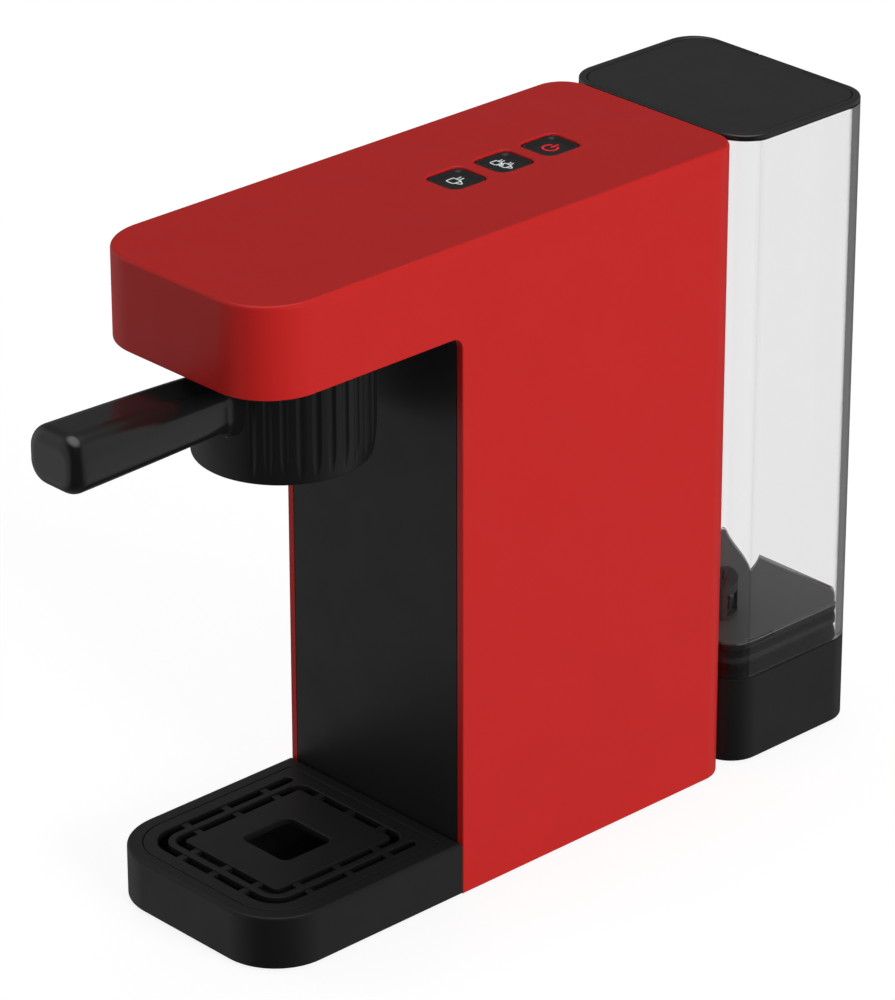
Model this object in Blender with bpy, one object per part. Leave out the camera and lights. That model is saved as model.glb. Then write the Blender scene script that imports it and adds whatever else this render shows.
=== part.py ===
"""Slim espresso machine: a red casing on a black chassis, a portafilter, a drip tray and a clear tank.

The drawing is in millimetres and is scaled to metres as each mesh is made. X runs across the machine and is
zero on its centre plane, Y runs from the head's front face (zero) to the tank at the rear, and Z is zero at
the casing's underside. The empty named machine_origin carries that drawing to the finished part's frame: the
middle of its length, on the surface that the feet stand on.
"""

import math

import bmesh
import bpy
from mathutils import Matrix, Vector

MM = 0.001
GAP = 0.3  # clearance between neighbouring pieces
REACH = 400.0  # longer than the whole machine, for cutters that go right through

# Driving dimensions
WIDTH = 100.0
HEIGHT = 274.6
HEAD_UNDER = 237.4
COLUMN_FRONT = 99.1
BODY_REAR = 248.85
TANK_FRONT = 249.5
TANK_REAR = 323.7
HANDLE_END = -59.1
FOOT_PROUD = 1.0
FRONT_RADIUS = 24.8
REAR_RADIUS = 13.5
TANK_RADIUS = 14.0
WALL = 3.2
ARCH_RADIUS = 5.0  # where the column meets the head

TRAY_FRONT = -0.9
TRAY_TOP = 22.5
GRATE_DEPTH = 2.6
GRATE_HALF = 43.5
GRATE_FRONT = 5.5
GRATE_REAR = 92.5
CHANNEL_WIDTH = 3.9
RIB_WIDTH = 3.3
RIB_DROP = 0.6  # how far the ribs in the grate's channels lie under its top

GROUP_Y = 52.85
CUP_RADIUS = 35.9
CUP_FOOT_RADIUS = 34.6
CUP_BOTTOM = 190.4
CUP_BARREL_TOP = 205.0
CUP_TOP = 236.4
FLUTES = 31
FLUTE_PITCH = math.radians(10)
FLUTE_RADIUS = 2.05
FLUTE_CENTRE = CUP_RADIUS - 0.8 + FLUTE_RADIUS
LOCK_ANGLE = math.radians(45)

BUTTON_SIZE = (17.5, 18.5)
BUTTON_TOP = HEIGHT - 0.7
BUTTONS = (("button_one_cup", 143.1), ("button_two_cups", 168.1), ("button_power", 193.0))

DOCK_TOP = 37.5
TANK_WALL = 2.3
TANK_FLOOR = 53.0
VALVE_X = 18.0
VALVE_Y = 272.0

HALF = WIDTH / 2
INSIDE = HALF - WALL  # the casing's inner face
CEILING = HEIGHT - WALL
PANEL_BACK = COLUMN_FRONT + 2.8
CORNER_STEPS = 5
ROUND_STEPS = 20


# Materials: colour, metallic, roughness
FINISHES = {
    "red_plastic": ((0.52, 0.022, 0.018), 0.0, 0.42),
    "black_plastic": ((0.018, 0.018, 0.018), 0.0, 0.5),
    "gloss_black": ((0.010, 0.010, 0.010), 0.0, 0.25),
    "lid_plastic": ((0.030, 0.030, 0.031), 0.0, 0.55),
    "clear_plastic": ((0.92, 0.93, 0.94), 0.0, 0.05),
    "natural_plastic": ((0.75, 0.74, 0.70), 0.0, 0.45),
    "black_rubber": ((0.02, 0.02, 0.02), 0.0, 0.85),
    "silicone": ((0.70, 0.68, 0.64), 0.0, 0.55),
    "stainless": ((0.62, 0.61, 0.59), 1.0, 0.28),
    "aluminium": ((0.66, 0.67, 0.68), 1.0, 0.42),
    "brass": ((0.72, 0.52, 0.22), 1.0, 0.33),
    "board": ((0.02, 0.16, 0.07), 0.0, 0.45),
}


def clear_scene():
    for item in list(bpy.data.objects):
        bpy.data.objects.remove(item, do_unlink=True)


def make_finishes():
    """One Principled material for each finish, so that every piece of it shares it."""
    made = {}
    for name, (colour, metallic, roughness) in FINISHES.items():
        material = bpy.data.materials.new(name)
        material.use_nodes = True
        shader = material.node_tree.nodes["Principled BSDF"]
        shader.inputs["Base Color"].default_value = (*colour, 1.0)
        shader.inputs["Metallic"].default_value = metallic
        shader.inputs["Roughness"].default_value = roughness
        if name == "clear_plastic":
            shader.inputs["Transmission Weight"].default_value = 1.0
        made[name] = material
    return made


def empty(name, place, parent=None):
    """A joint's axis or the machine's own origin; place is in the drawing."""
    marker = bpy.data.objects.new(name, None)
    marker["place"] = place
    start = Vector(parent["place"]) if parent else Vector((0, 0, 0))
    marker.location = (Vector(place) - start) * MM
    marker.parent = parent
    bpy.context.collection.objects.link(marker)
    return marker


def solid(name, bm, finish=None, on=None):
    """Turns a closed bmesh in drawing units into an object on an empty; without a finish it is a cutter."""
    carrier = on or machine
    bmesh.ops.recalc_face_normals(bm, faces=bm.faces)
    bmesh.ops.translate(bm, verts=bm.verts, vec=-Vector(carrier["place"]))
    bmesh.ops.scale(bm, verts=bm.verts, vec=(MM, MM, MM))
    mesh = bpy.data.meshes.new(name)
    bm.to_mesh(mesh)
    bm.free()
    piece = bpy.data.objects.new(name, mesh)
    piece.parent = carrier
    bpy.context.collection.objects.link(piece)
    if finish:
        mesh.materials.append(finishes[finish])
    else:
        piece.hide_render = True
        piece.display_type = "WIRE"
    return piece


def combine(piece, operation, *tools):
    """Adds one Boolean modifier for each tool and hides the tools."""
    for tool in tools:
        modifier = piece.modifiers.new(f"{operation.lower()} {tool.name}", "BOOLEAN")
        modifier.operation = operation
        modifier.solver = "EXACT"
        modifier.object = tool
        tool.hide_render = True
        tool.display_type = "WIRE"
    return piece


def cut(piece, *tools):
    return combine(piece, "DIFFERENCE", *tools)


def join(piece, *tools):
    return combine(piece, "UNION", *tools)


def smooth(piece, angle=40.0):
    piece.data.shade_smooth()
    piece.data.set_sharp_from_angle(angle=math.radians(angle))
    return piece


def filleted(corners, steps=CORNER_STEPS):
    """A closed outline through corners (u, v, radius), each rounded by an arc that touches both its edges."""
    outline = []
    for index, (u, v, radius) in enumerate(corners):
        here = Vector((u, v))
        if radius <= 0:
            outline.append((u, v))
            continue
        back = (Vector(corners[index - 1][:2]) - here).normalized()
        ahead = (Vector(corners[(index + 1) % len(corners)][:2]) - here).normalized()
        half = back.angle(ahead) / 2
        centre = here + (back + ahead).normalized() * (radius / math.sin(half))
        start = here + back * (radius / math.tan(half)) - centre
        end = here + ahead * (radius / math.tan(half)) - centre
        sweep = math.pi - 2 * half
        for step in range(steps + 1):
            part = step / steps
            spoke = start * math.sin((1 - part) * sweep) + end * math.sin(part * sweep)
            outline.append(tuple(centre + spoke / math.sin(sweep)))
    return outline


def rounded(x_half, y_front, y_rear, front_radius, rear_radius):
    """A plan outline that is symmetrical about the centre plane."""
    return filleted([
        (-x_half, y_front, front_radius),
        (x_half, y_front, front_radius),
        (x_half, y_rear, rear_radius),
        (-x_half, y_rear, rear_radius),
    ])


def circle(u, v, radius, steps=16):
    turns = [2 * math.pi * step / steps for step in range(steps)]
    return [(u + radius * math.cos(turn), v + radius * math.sin(turn)) for turn in turns]


def sector(inner, outer, middle, half_angle, steps=5):
    """Part of a ring about the group's axis, seen from above; angles are in radians from +X."""
    sweep = [middle - half_angle + 2 * half_angle * step / steps for step in range(steps + 1)]
    far = [(outer * math.cos(turn), GROUP_Y + outer * math.sin(turn)) for turn in sweep]
    near = [(inner * math.cos(turn), GROUP_Y + inner * math.sin(turn)) for turn in reversed(sweep)]
    return far + near


def on_axis(axis, u, v, w):
    """A point from an outline's u and v and its depth w: the outline lies in XY, in YZ or in XZ."""
    return {"Z": (u, v, w), "X": (w, u, v), "Y": (u, w, v)}[axis]


def prism_mesh(bm, outline, low, high, axis="Z"):
    floor = [bm.verts.new(on_axis(axis, u, v, low)) for u, v in outline]
    roof = [bm.verts.new(on_axis(axis, u, v, high)) for u, v in outline]
    bm.faces.new(floor)
    bm.faces.new(roof)
    for index in range(len(outline)):
        after = (index + 1) % len(outline)
        bm.faces.new((floor[index], floor[after], roof[after], roof[index]))


def prism(name, outline, low, high, finish=None, axis="Z", on=None):
    bm = bmesh.new()
    prism_mesh(bm, outline, low, high, axis)
    return solid(name, bm, finish, on)


def rectangle(low, high):
    return [(low[0], low[1]), (high[0], low[1]), (high[0], high[1]), (low[0], high[1])]


def block(name, low, high, finish=None, on=None):
    return prism(name, rectangle(low, high), low[2], high[2], finish, "Z", on)


def turned(name, profile, finish=None, centre=(0.0, 0.0), axis="Z", steps=ROUND_STEPS, on=None):
    """A closed profile of (radius, height) points, turned about an axis; points at radius 0 lie on the axis.

    centre is the axis's place in the other two directions: (x, y) for Z and (x, z) for Y.
    """
    bm = bmesh.new()
    rings = []
    for radius, height in profile:
        if radius <= 0:
            rings.append([bm.verts.new(on_axis(axis, centre[0], centre[1], height))])
            continue
        ring = circle(centre[0], centre[1], radius, steps)
        rings.append([bm.verts.new(on_axis(axis, u, v, height)) for u, v in ring])
    for index, ring in enumerate(rings):
        other = rings[(index + 1) % len(rings)]
        if len(ring) == 1 and len(other) == 1:
            continue
        for step in range(steps):
            after = (step + 1) % steps
            corners = [ring[step % len(ring)], ring[after % len(ring)]]
            corners += [other[after % len(other)], other[step % len(other)]]
            bm.faces.new(list(dict.fromkeys(corners)))
    return smooth(solid(name, bm, finish, on))


def smooth_route(points, per_leg=2):
    """Points along a Catmull-Rom curve through the given ones."""
    guides = [Vector(point) for point in points]
    guides = [2 * guides[0] - guides[1], *guides, 2 * guides[-1] - guides[-2]]
    route = []
    for index in range(1, len(guides) - 2):
        before, start, end, after = guides[index - 1 : index + 3]
        for step in range(per_leg):
            t = step / per_leg
            bend = 2 * before - 5 * start + 4 * end - after
            turn = 3 * start - before - 3 * end + after
            route.append(0.5 * (2 * start + (end - before) * t + bend * t * t + turn * t ** 3))
    route.append(guides[-2])
    return route


def hose(name, points, outer, inner, finish, sides=6):
    """An open-ended tube along a smooth route."""
    route = smooth_route(points)
    bm = bmesh.new()
    side = None
    skins = {outer: [], inner: []}
    first, last = Vector(points[1]) - Vector(points[0]), Vector(points[-1]) - Vector(points[-2])
    ends = {0: first, len(route) - 1: last}
    for index, place in enumerate(route):
        ahead = ends[index] if index in ends else route[index + 1] - route[index - 1]
        ahead.normalize()
        side = side or ahead.orthogonal().normalized()
        side = (side - ahead * side.dot(ahead)).normalized()
        up = ahead.cross(side)
        for radius, rings in skins.items():
            spokes = circle(0, 0, radius, sides)
            rings.append([bm.verts.new(place + side * u + up * v) for u, v in spokes])
    for step in range(sides):
        after = (step + 1) % sides
        for rings in skins.values():
            for ring, other in zip(rings, rings[1:]):
                bm.faces.new((ring[step], ring[after], other[after], other[step]))
        for end in (0, -1):
            out, into = skins[outer][end], skins[inner][end]
            bm.faces.new((out[step], out[after], into[after], into[step]))
    return smooth(solid(name, bm, finish))


# Casing


def inner_plan(inset):
    """The casing's plan, drawn in by inset from its outer face."""
    front = max(FRONT_RADIUS - inset, 0.5)
    rear = max(REAR_RADIUS - inset, 0.5)
    return rounded(HALF - inset, inset, BODY_REAR - inset, front, rear)


def arch_profile(front, under, low, high, back):
    """Side view of the front panel: its face, the rounded corner under the head, and its short roof."""
    return filleted([
        (front, low, 0),
        (front, under, ARCH_RADIUS),
        (front - ARCH_RADIUS, under, 0),
        (front - ARCH_RADIUS, high, 0),
        (back, high, 0),
        (back, low, 0),
    ])


BOSSES = ((-42.0, 114.0), (42.0, 114.0), (-42.0, 228.0), (42.0, 228.0))
SCREW_TOP = 15.0
REAR_WINDOW = 32.0
WINDOW_TOP = 262.0


def make_outer_shell():
    shell = prism("outer_shell", inner_plan(0), 0, HEIGHT, "red_plastic")
    below_head = filleted([
        (-REACH, -REACH, 0),
        (COLUMN_FRONT, -REACH, 0),
        (COLUMN_FRONT, HEAD_UNDER, ARCH_RADIUS),
        (-REACH, HEAD_UNDER, 0),
    ])
    cut(shell, prism("cut_shell_below_head", below_head, -REACH, REACH, axis="X"))
    cut(shell, prism("cut_shell_cavity", inner_plan(WALL), -1, CEILING))
    window = (-REAR_WINDOW, BODY_REAR - 2 * WALL, -1), (REAR_WINDOW, BODY_REAR + 1, WINDOW_TOP)
    cut(shell, block("cut_shell_rear_window", *window))
    width, length = BUTTON_SIZE
    for name, y in BUTTONS:
        well = rounded(width / 2 + GAP, y - length / 2 - GAP, y + length / 2 + GAP, 4, 4)
        cut(shell, prism(f"cut_well_{name}", well, CEILING - 2, HEIGHT + 1))
    for index, (x, y) in enumerate(BOSSES, 1):
        wall = math.copysign(INSIDE + 0.8, x)
        low, high = sorted((x - math.copysign(4.5, x), wall))
        join(shell, block(f"add_boss_{index}", (low, y - 4.5, 3.3), (high, y + 4.5, 19.0)))
        cut(shell, prism(f"cut_boss_{index}", circle(x, y, 2.1, 10), 2.0, SCREW_TOP + 1))
    return smooth(shell, 30)


def make_front_panel():
    profile = arch_profile(COLUMN_FRONT, HEAD_UNDER, 3.1, HEAD_UNDER + 2.6, PANEL_BACK)
    reach = INSIDE - GAP
    return smooth(prism("front_panel", profile, -reach, reach, "black_plastic", axis="X"), 30)


def make_head_cover():
    inset = WALL + GAP
    radius = FRONT_RADIUS - inset
    plan = rounded(HALF - inset, inset, COLUMN_FRONT - ARCH_RADIUS - GAP, radius, 0)
    cover = prism("head_cover", plan, HEAD_UNDER, HEAD_UNDER + 2.6, "black_plastic")
    cut(cover, prism("cut_head_cover_hole", circle(0, GROUP_Y, 34.5, 36), HEAD_UNDER - 5, HEAD_UNDER + 5))
    return smooth(cover, 30)


TONGUE_FRONT = 12.0
PLATE_LOW = 0.3
PLATE_TOP = 2.8
FEET = (("foot_front_left", -20.0, 24.0), ("foot_front_right", 20.0, 24.0),
        ("foot_rear_left", -33.0, 306.0), ("foot_rear_right", 33.0, 306.0))


def make_base_plate():
    """The chassis: a tongue under the tray, the column's floor, and a foot that carries the tank's dock."""
    inside = INSIDE - GAP
    rear = BODY_REAR - WALL - GAP
    dock = HALF - 3.1
    half = [
        (30, TONGUE_FRONT, 6),
        (30, COLUMN_FRONT + GAP, 0),
        (inside, COLUMN_FRONT + GAP, 0),
        (inside, rear, 11),
        (REAR_WINDOW - 0.6, rear, 0),
        (REAR_WINDOW - 0.6, TANK_FRONT + 3.1, 0),
        (dock, TANK_FRONT + 3.1, 11),
        (dock, TANK_REAR - 3.1, 11),
    ]
    other = [(-x, y, radius) for x, y, radius in reversed(half)]
    plate = prism("base_plate", filleted(half + other), PLATE_LOW, PLATE_TOP, "black_plastic")
    for name, x, y in FEET:
        cut(plate, prism(f"cut_plate_{name}", circle(x, y, 2.7, 12), -5, 10))
    for index, (x, y) in enumerate(BOSSES, 1):
        cut(plate, prism(f"cut_plate_screw_{index}", circle(x, y, 2.2, 12), -5, 10))
    return smooth(plate, 30)


def make_feet():
    pad = [(0, -FOOT_PROUD), (6.4, -FOOT_PROUD), (7.0, -0.5), (7.0, 0.0)]
    plug = [(2.4, 0.0), (2.4, 2.6), (0, 2.6)]
    for name, x, y in FEET:
        turned(name, pad + plug, "black_rubber", (x, y), steps=16)


def make_base_screws():
    profile = [(0, -0.8), (3.6, -0.8), (3.8, 0.0), (1.8, 0.0), (1.8, SCREW_TOP), (0, SCREW_TOP)]
    for index, (x, y) in enumerate(BOSSES, 1):
        turned(f"base_screw_{index}", profile, "stainless", (x, y), steps=12)


def make_rear_cover():
    """The service panel; its window lets the dock's water hose and wires into the column."""
    edge = REAR_WINDOW - GAP
    low = (-edge, BODY_REAR - WALL, PLATE_TOP + GAP)
    high = (edge, BODY_REAR, WINDOW_TOP - GAP)
    cover = block("rear_cover", low, high, "black_plastic")
    cut(cover, block("cut_rear_cover_window", (-22, BODY_REAR - 10, 8), (22, BODY_REAR + 10, 29)))
    return cover


# Buttons and electronics

FLANGE_TOP = CEILING - GAP
BOARD = (257.0, 258.6)


def make_button(name, y):
    width, length = BUTTON_SIZE
    axis = empty(f"{name}_axis", (0, y, BUTTON_TOP), machine)
    cap_plan = rounded(width / 2, y - length / 2, y + length / 2, 3.8, 3.8)
    cap = prism(name, cap_plan, FLANGE_TOP - 1.5, BUTTON_TOP, "gloss_black", on=axis)
    flange_plan = rounded(width / 2 + 1.5, y - length / 2 - 1.5, y + length / 2 + 1.5, 4.5, 4.5)
    join(cap, prism(f"add_{name}_flange", flange_plan, FLANGE_TOP - 2, FLANGE_TOP, on=axis))
    join(cap, prism(f"add_{name}_leg", circle(0, y, 2.5, 12), 264.5, FLANGE_TOP - 1, on=axis))
    smooth(cap, 30)


def make_switch(name, y):
    body = block(name, (-3, y - 3, BOARD[1] + GAP), (3, y + 3, BOARD[1] + 3.5), "gloss_black")
    join(body, prism(f"add_{name}_stem", circle(0, y, 1.7, 12), BOARD[1] + 3, BOARD[1] + 4.5))


def make_electronics():
    for name, y in BUTTONS:
        make_button(name, y)
        make_switch(name.replace("button", "switch"), y)
    block("control_board", (-22, 130, BOARD[0]), (22, 206, BOARD[1]), "board")
    top = FLANGE_TOP
    channel = [(-26, 253), (26, 253), (26, top), (24, top), (24, 255), (20, 255), (20, BOARD[0] - GAP)]
    channel += [(16, BOARD[0] - GAP), (16, 255), (-16, 255), (-16, BOARD[0] - GAP), (-20, BOARD[0] - GAP)]
    channel += [(-20, 255), (-24, 255), (-24, top), (-26, top)]
    prism("board_bracket", channel, 127, 209, "natural_plastic", axis="Y")
    board = block("power_board", (40, 118, 40), (41.6, 178, 120), "board")
    parts = (("relay", (30, 124, 50), (40.5, 140, 66)), ("capacitor", (28, 150, 84), (40.5, 170, 98)),
             ("heatsink", (32, 124, 96), (40.5, 142, 112)), ("terminal", (31, 150, 46), (40.5, 174, 56)))
    for name, low, high in parts:
        join(board, block(f"add_{name}", low, high))


# Brew group

GROUP = (0.0, GROUP_Y)
LUG_ANGLES = [math.radians(turn) for turn in (30, 150, 270)]
LUG_HALF = math.radians(12)
NOTCH_HALF = math.radians(15)
RING_LOW = 240.5
RING_TOP = 252.8


def make_group_ring():
    """The bayonet collar: a lip that the portafilter's lugs turn in over, with a notch for each lug."""
    profile = [(29.9, RING_LOW), (40, RING_LOW), (40, RING_TOP), (30.6, RING_TOP)]
    profile += [(30.6, 246.2), (34, 246.2), (34, 241.9), (29.9, 241.9)]
    ring = turned("group_ring", profile, "aluminium", GROUP, steps=30)
    for index, lug in enumerate(LUG_ANGLES, 1):
        notch = sector(28, 34.1, lug - LOCK_ANGLE, NOTCH_HALF)
        cut(ring, prism(f"cut_group_notch_{index}", notch, RING_LOW - 2, 242.5))
    return ring


def make_group_head():
    profile = [(0, 250.7), (5, 250.7), (5, 253.3), (36, 253.3), (36, 260), (33, 262.5), (0, 262.5)]
    head = turned("group_head", profile, "aluminium", GROUP, steps=24)
    join(head, block("add_group_port", (-7, GROUP_Y + 30, 253.6), (7, GROUP_Y + 42, 262.2)))
    cut(head, prism("cut_group_port", circle(0, 258, 2.3, 10), GROUP_Y + 32, GROUP_Y + 50, axis="Y"))
    cut(head, prism("cut_group_screw", circle(0, GROUP_Y, 2.1, 10), 245, 259))
    return head


def make_shower():
    gasket = [(25, 247.5), (30.2, 247.5), (30.2, 253.0), (25, 253.0)]
    turned("group_gasket", gasket, "silicone", GROUP)
    screen = [(2.4, 249.2), (24.4, 249.2), (24.4, 252.0), (23.6, 252.0), (23.6, 250.2), (2.4, 250.2)]
    turned("shower_screen", screen, "stainless", GROUP)
    screw = [(0, 247.3), (4, 247.3), (4, 248.9), (1.8, 248.9), (1.8, 258.5), (0, 258.5)]
    turned("shower_screw", screw, "stainless", GROUP, steps=12)


# Portafilter

HANDLE_ROOT = 22.0
HANDLE_MIDDLE = 219.8
BOLT_INSIDE = GROUP_Y - 32.3


def handle_ring(y, half_width, half_height, radius, count=5):
    """A rounded rectangle across the handle at y."""
    corners = []
    for x_side, z_side in ((1, 1), (-1, 1), (-1, -1), (1, -1)):
        x = x_side * half_width
        corners.append((x, HANDLE_MIDDLE + z_side * half_height, radius))
    return [(x, y, z) for x, z in filleted(corners, count)]


def make_handle(turn):
    """Lofted through rounded rectangles that shrink in height towards the cup, with a rounded outer end."""
    end_radius = 6.0
    outer = (14.5, 11.9, 9.4)
    root = (12.2, 8.9, 6.0)
    rings = []
    for step in range(1, 5):
        lean = math.radians(90) * step / 4
        inset = end_radius * (1 - math.sin(lean))
        y = HANDLE_END + end_radius * (1 - math.cos(lean))
        rings.append(handle_ring(y, outer[0] - inset, outer[1] - inset, max(outer[2] - inset, 1.2)))
    for step in range(1, 5):
        part = step / 4
        size = [a + (b - a) * part for a, b in zip(outer, root)]
        y = HANDLE_END + end_radius
        rings.append(handle_ring(y + (HANDLE_ROOT - y) * part, *size))
    start = [(x, HANDLE_END, z) for x, _, z in
             handle_ring(HANDLE_END, outer[0] - end_radius, outer[1] - end_radius, 1.0)]
    rings.insert(0, start)
    bm = bmesh.new()
    skins = [[bm.verts.new(point) for point in ring] for ring in rings]
    bm.faces.new(skins[0])
    bm.faces.new(skins[-1])
    for ring, other in zip(skins, skins[1:]):
        for index in range(len(ring)):
            after = (index + 1) % len(ring)
            bm.faces.new((ring[index], ring[after], other[after], other[index]))
    handle = solid("portafilter_handle", bm, "gloss_black", turn)
    reach = prism("cut_handle_saddle", circle(0, GROUP_Y, CUP_RADIUS + GAP, 64), 195, 245, on=turn)
    bolt_hole = circle(0, HANDLE_MIDDLE, 2.4, 12)
    cut(handle, reach, prism("cut_handle_bolt", bolt_hole, 1, 30, axis="Y", on=turn))
    return smooth(handle, 35)


def make_cup(turn):
    """The double-walled cup: a fluted skirt, and an inner wall that rises to the collar with the lugs."""
    fillet = 1.0
    bends = [math.radians(-90 + 90 * step / 2) for step in range(3)]
    centre = CUP_FOOT_RADIUS - fillet, CUP_BOTTOM + fillet
    knee = [(centre[0] + fillet * math.cos(bend), centre[1] + fillet * math.sin(bend)) for bend in bends]
    barrel = []
    for step in range(1, 5):
        drop = 1 - step / 4
        z = CUP_BARREL_TOP - drop * (CUP_BARREL_TOP - CUP_BOTTOM - fillet)
        barrel.append((CUP_RADIUS - (CUP_RADIUS - CUP_FOOT_RADIUS) * drop**2, z))
    profile = [(6, CUP_BOTTOM), *knee, *barrel, (CUP_RADIUS, CUP_TOP), (33, CUP_TOP), (33, 197), (29.5, 197)]
    profile += [(29.5, 246.1), (26.2, 246.1), (26.2, 192.2), (6, 192.2)]
    cup = turned("portafilter_cup", profile, "black_plastic", GROUP, steps=40, on=turn)
    for index, lug in enumerate(LUG_ANGLES, 1):
        join(cup, prism(f"add_lug_{index}", sector(28, 33.6, lug, LUG_HALF), 242.2, 245.8, on=turn))
    bm = bmesh.new()
    for index in range(FLUTES):
        lean = math.radians(-90) + (index - (FLUTES - 1) / 2) * FLUTE_PITCH + math.pi
        outline = [(FLUTE_CENTRE + u, v) for u, v in circle(0, 0, FLUTE_RADIUS, 8)]
        turn_to = Matrix.Rotation(lean, 2)
        spun = [turn_to @ Vector(point) + Vector((0, GROUP_Y)) for point in outline]
        prism_mesh(bm, spun, CUP_BOTTOM + 1.7, CUP_TOP + 1)
    cut(cup, solid("cut_flutes", bm, on=turn))
    bolt_hole = circle(0, HANDLE_MIDDLE, 2.4, 12)
    cut(cup, prism("cut_cup_bolt", bolt_hole, 5, GROUP_Y - 31, axis="Y", on=turn))
    return smooth(cup, 35)


def make_portafilter():
    turn = empty("portafilter_turn_axis", (0, GROUP_Y, CUP_TOP), machine)
    make_cup(turn)
    make_handle(turn)
    bolt = [(0, 3), (2.1, 3), (2.1, BOLT_INSIDE), (3.4, BOLT_INSIDE)]
    bolt += [(3.4, BOLT_INSIDE + 2), (0, BOLT_INSIDE + 2)]
    turned("handle_bolt", bolt, "stainless", (0, HANDLE_MIDDLE), axis="Y", steps=12, on=turn)
    basket = [(0, 222.0), (22.5, 222.0), (25.4, 224.5), (25.4, 246.4), (29.3, 246.4), (29.3, 247.2)]
    basket += [(24.6, 247.2), (24.6, 224.8), (22.2, 222.8), (0, 222.8)]
    turned("filter_basket", basket, "stainless", GROUP, on=turn)
    spout = prism("coffee_spout", rounded(13, GROUP_Y - 5, GROUP_Y + 5, 4.9, 4.9), 181, CUP_BOTTOM - GAP,
                  "black_plastic", on=turn)
    join(spout, prism("add_spout_sleeve", circle(0, GROUP_Y, 5.7), 187, 193.8, on=turn))
    cut(spout, prism("cut_spout_bore", circle(0, GROUP_Y, 3.5, 12), 184, 200, on=turn))
    cut(spout, block("cut_spout_gallery", (-10.4, GROUP_Y - 3, 182.8), (10.4, GROUP_Y + 3, 187.2), on=turn))
    for side in (-1, 1):
        outlet = circle(side * 7.6, GROUP_Y, 3.1, 12)
        cut(spout, prism(f"cut_spout_outlet_{side + 2}", outlet, 175, 185, on=turn))


# Drip tray


def tray_plan(inset):
    """The tray's plan drawn in by inset, with square rear corners."""
    return rounded(HALF - inset, TRAY_FRONT + inset, COLUMN_FRONT - GAP - inset, FRONT_RADIUS - inset, 0)


def make_drip_tray():
    slide = empty("tray_slide_axis", (0, TRAY_FRONT, 0), machine)
    ledge = TRAY_TOP - GRATE_DEPTH - GAP
    tray = prism("drip_tray", tray_plan(0), 0.2, TRAY_TOP, "black_plastic", on=slide)
    skirt_void = prism("cut_tray_underside", tray_plan(2.5), -1, ledge - 2.2, on=slide)
    cut(skirt_void, prism("keep_tray_tub", tray_plan(6.4), 3.1, REACH, on=slide))
    cut(tray, skirt_void)
    cut(tray, prism("cut_tray_basin", grate_plan(1.9), 5.3, REACH, on=slide))
    cut(tray, prism("cut_tray_seat", grate_plan(-GAP), ledge, REACH, on=slide))
    cut(tray, block("cut_tray_tongue", (-32.5, 90, -1), (32.5, 110, 3.1), on=slide))
    return smooth(tray, 30)


def grate_plan(inset):
    """The grate's plan drawn in by inset; its front corners share their centres with the tray's."""
    radius = FRONT_RADIUS - (HALF - GRATE_HALF) - inset
    return rounded(GRATE_HALF - inset, GRATE_FRONT + inset, GRATE_REAR - inset, radius, 1.0)


CHANNEL_REAR = 86.6  # where both of the grate's channels end
OUTER_CHANNEL = (37.85, 11.3, 12.0)  # outer half width, front and corner radius
INNER_CHANNEL = (30.9, 18.2, 6.0)
GRATE_MIDDLE = 52.0
RIB_SPACING = (18.05, 20.45)  # across and along


def make_channel_cutters(low, high, on):
    """The grate's channels: an outer U with round ends, open at the rear, and a closed ring inside it."""
    side, front, radius = OUTER_CHANNEL
    round_end = CHANNEL_WIDTH / 2 - 0.05
    inner_side, inner_front, inner_radius = side - CHANNEL_WIDTH, front + CHANNEL_WIDTH, radius - 3.2
    loop = filleted([
        (-side, CHANNEL_REAR, round_end),
        (-side, front, radius),
        (side, front, radius),
        (side, CHANNEL_REAR, round_end),
        (inner_side, CHANNEL_REAR, round_end),
        (inner_side, inner_front, inner_radius),
        (-inner_side, inner_front, inner_radius),
        (-inner_side, CHANNEL_REAR, round_end),
    ])
    outer = prism("cut_grate_outer_channel", loop, low, high, on=on)
    side, front, radius = INNER_CHANNEL
    loop = rounded(side, front, CHANNEL_REAR, radius, radius)
    inner = prism("cut_grate_inner_channel", loop, low, high, on=on)
    plate = rounded(side - CHANNEL_WIDTH, front + CHANNEL_WIDTH, CHANNEL_REAR - CHANNEL_WIDTH, 2, 2)
    cut(inner, prism("keep_grate_centre", plate, low - 1, high + 1, on=on))
    return outer, inner


def make_ribs(on):
    """Short ribs that carry the grate's middle across both channels, three on each side."""
    low, high = TRAY_TOP - GRATE_DEPTH + 0.2, TRAY_TOP - RIB_DROP
    root = 0.7  # how far a rib runs into the solid stretches beside a channel
    half = RIB_WIDTH / 2
    across, along = RIB_SPACING
    x_low, x_high = INNER_CHANNEL[0] - CHANNEL_WIDTH - root, OUTER_CHANNEL[0] + root
    y_low, y_high = OUTER_CHANNEL[1] - root, INNER_CHANNEL[1] + CHANNEL_WIDTH + root
    bm = bmesh.new()
    for step in (-1, 0, 1):
        y = GRATE_MIDDLE + step * along
        prism_mesh(bm, rectangle((x_low, y - half), (x_high, y + half)), low, high)
        prism_mesh(bm, rectangle((-x_high, y - half), (-x_low, y + half)), low, high)
        x = step * across
        prism_mesh(bm, rectangle((x - half, y_low), (x + half, y_high)), low, high)
        rear = CHANNEL_REAR - CHANNEL_WIDTH - root, CHANNEL_REAR + root
        prism_mesh(bm, rectangle((x - half, rear[0]), (x + half, rear[1])), low, high)
    return solid("add_grate_ribs", bm, on=on)


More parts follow.
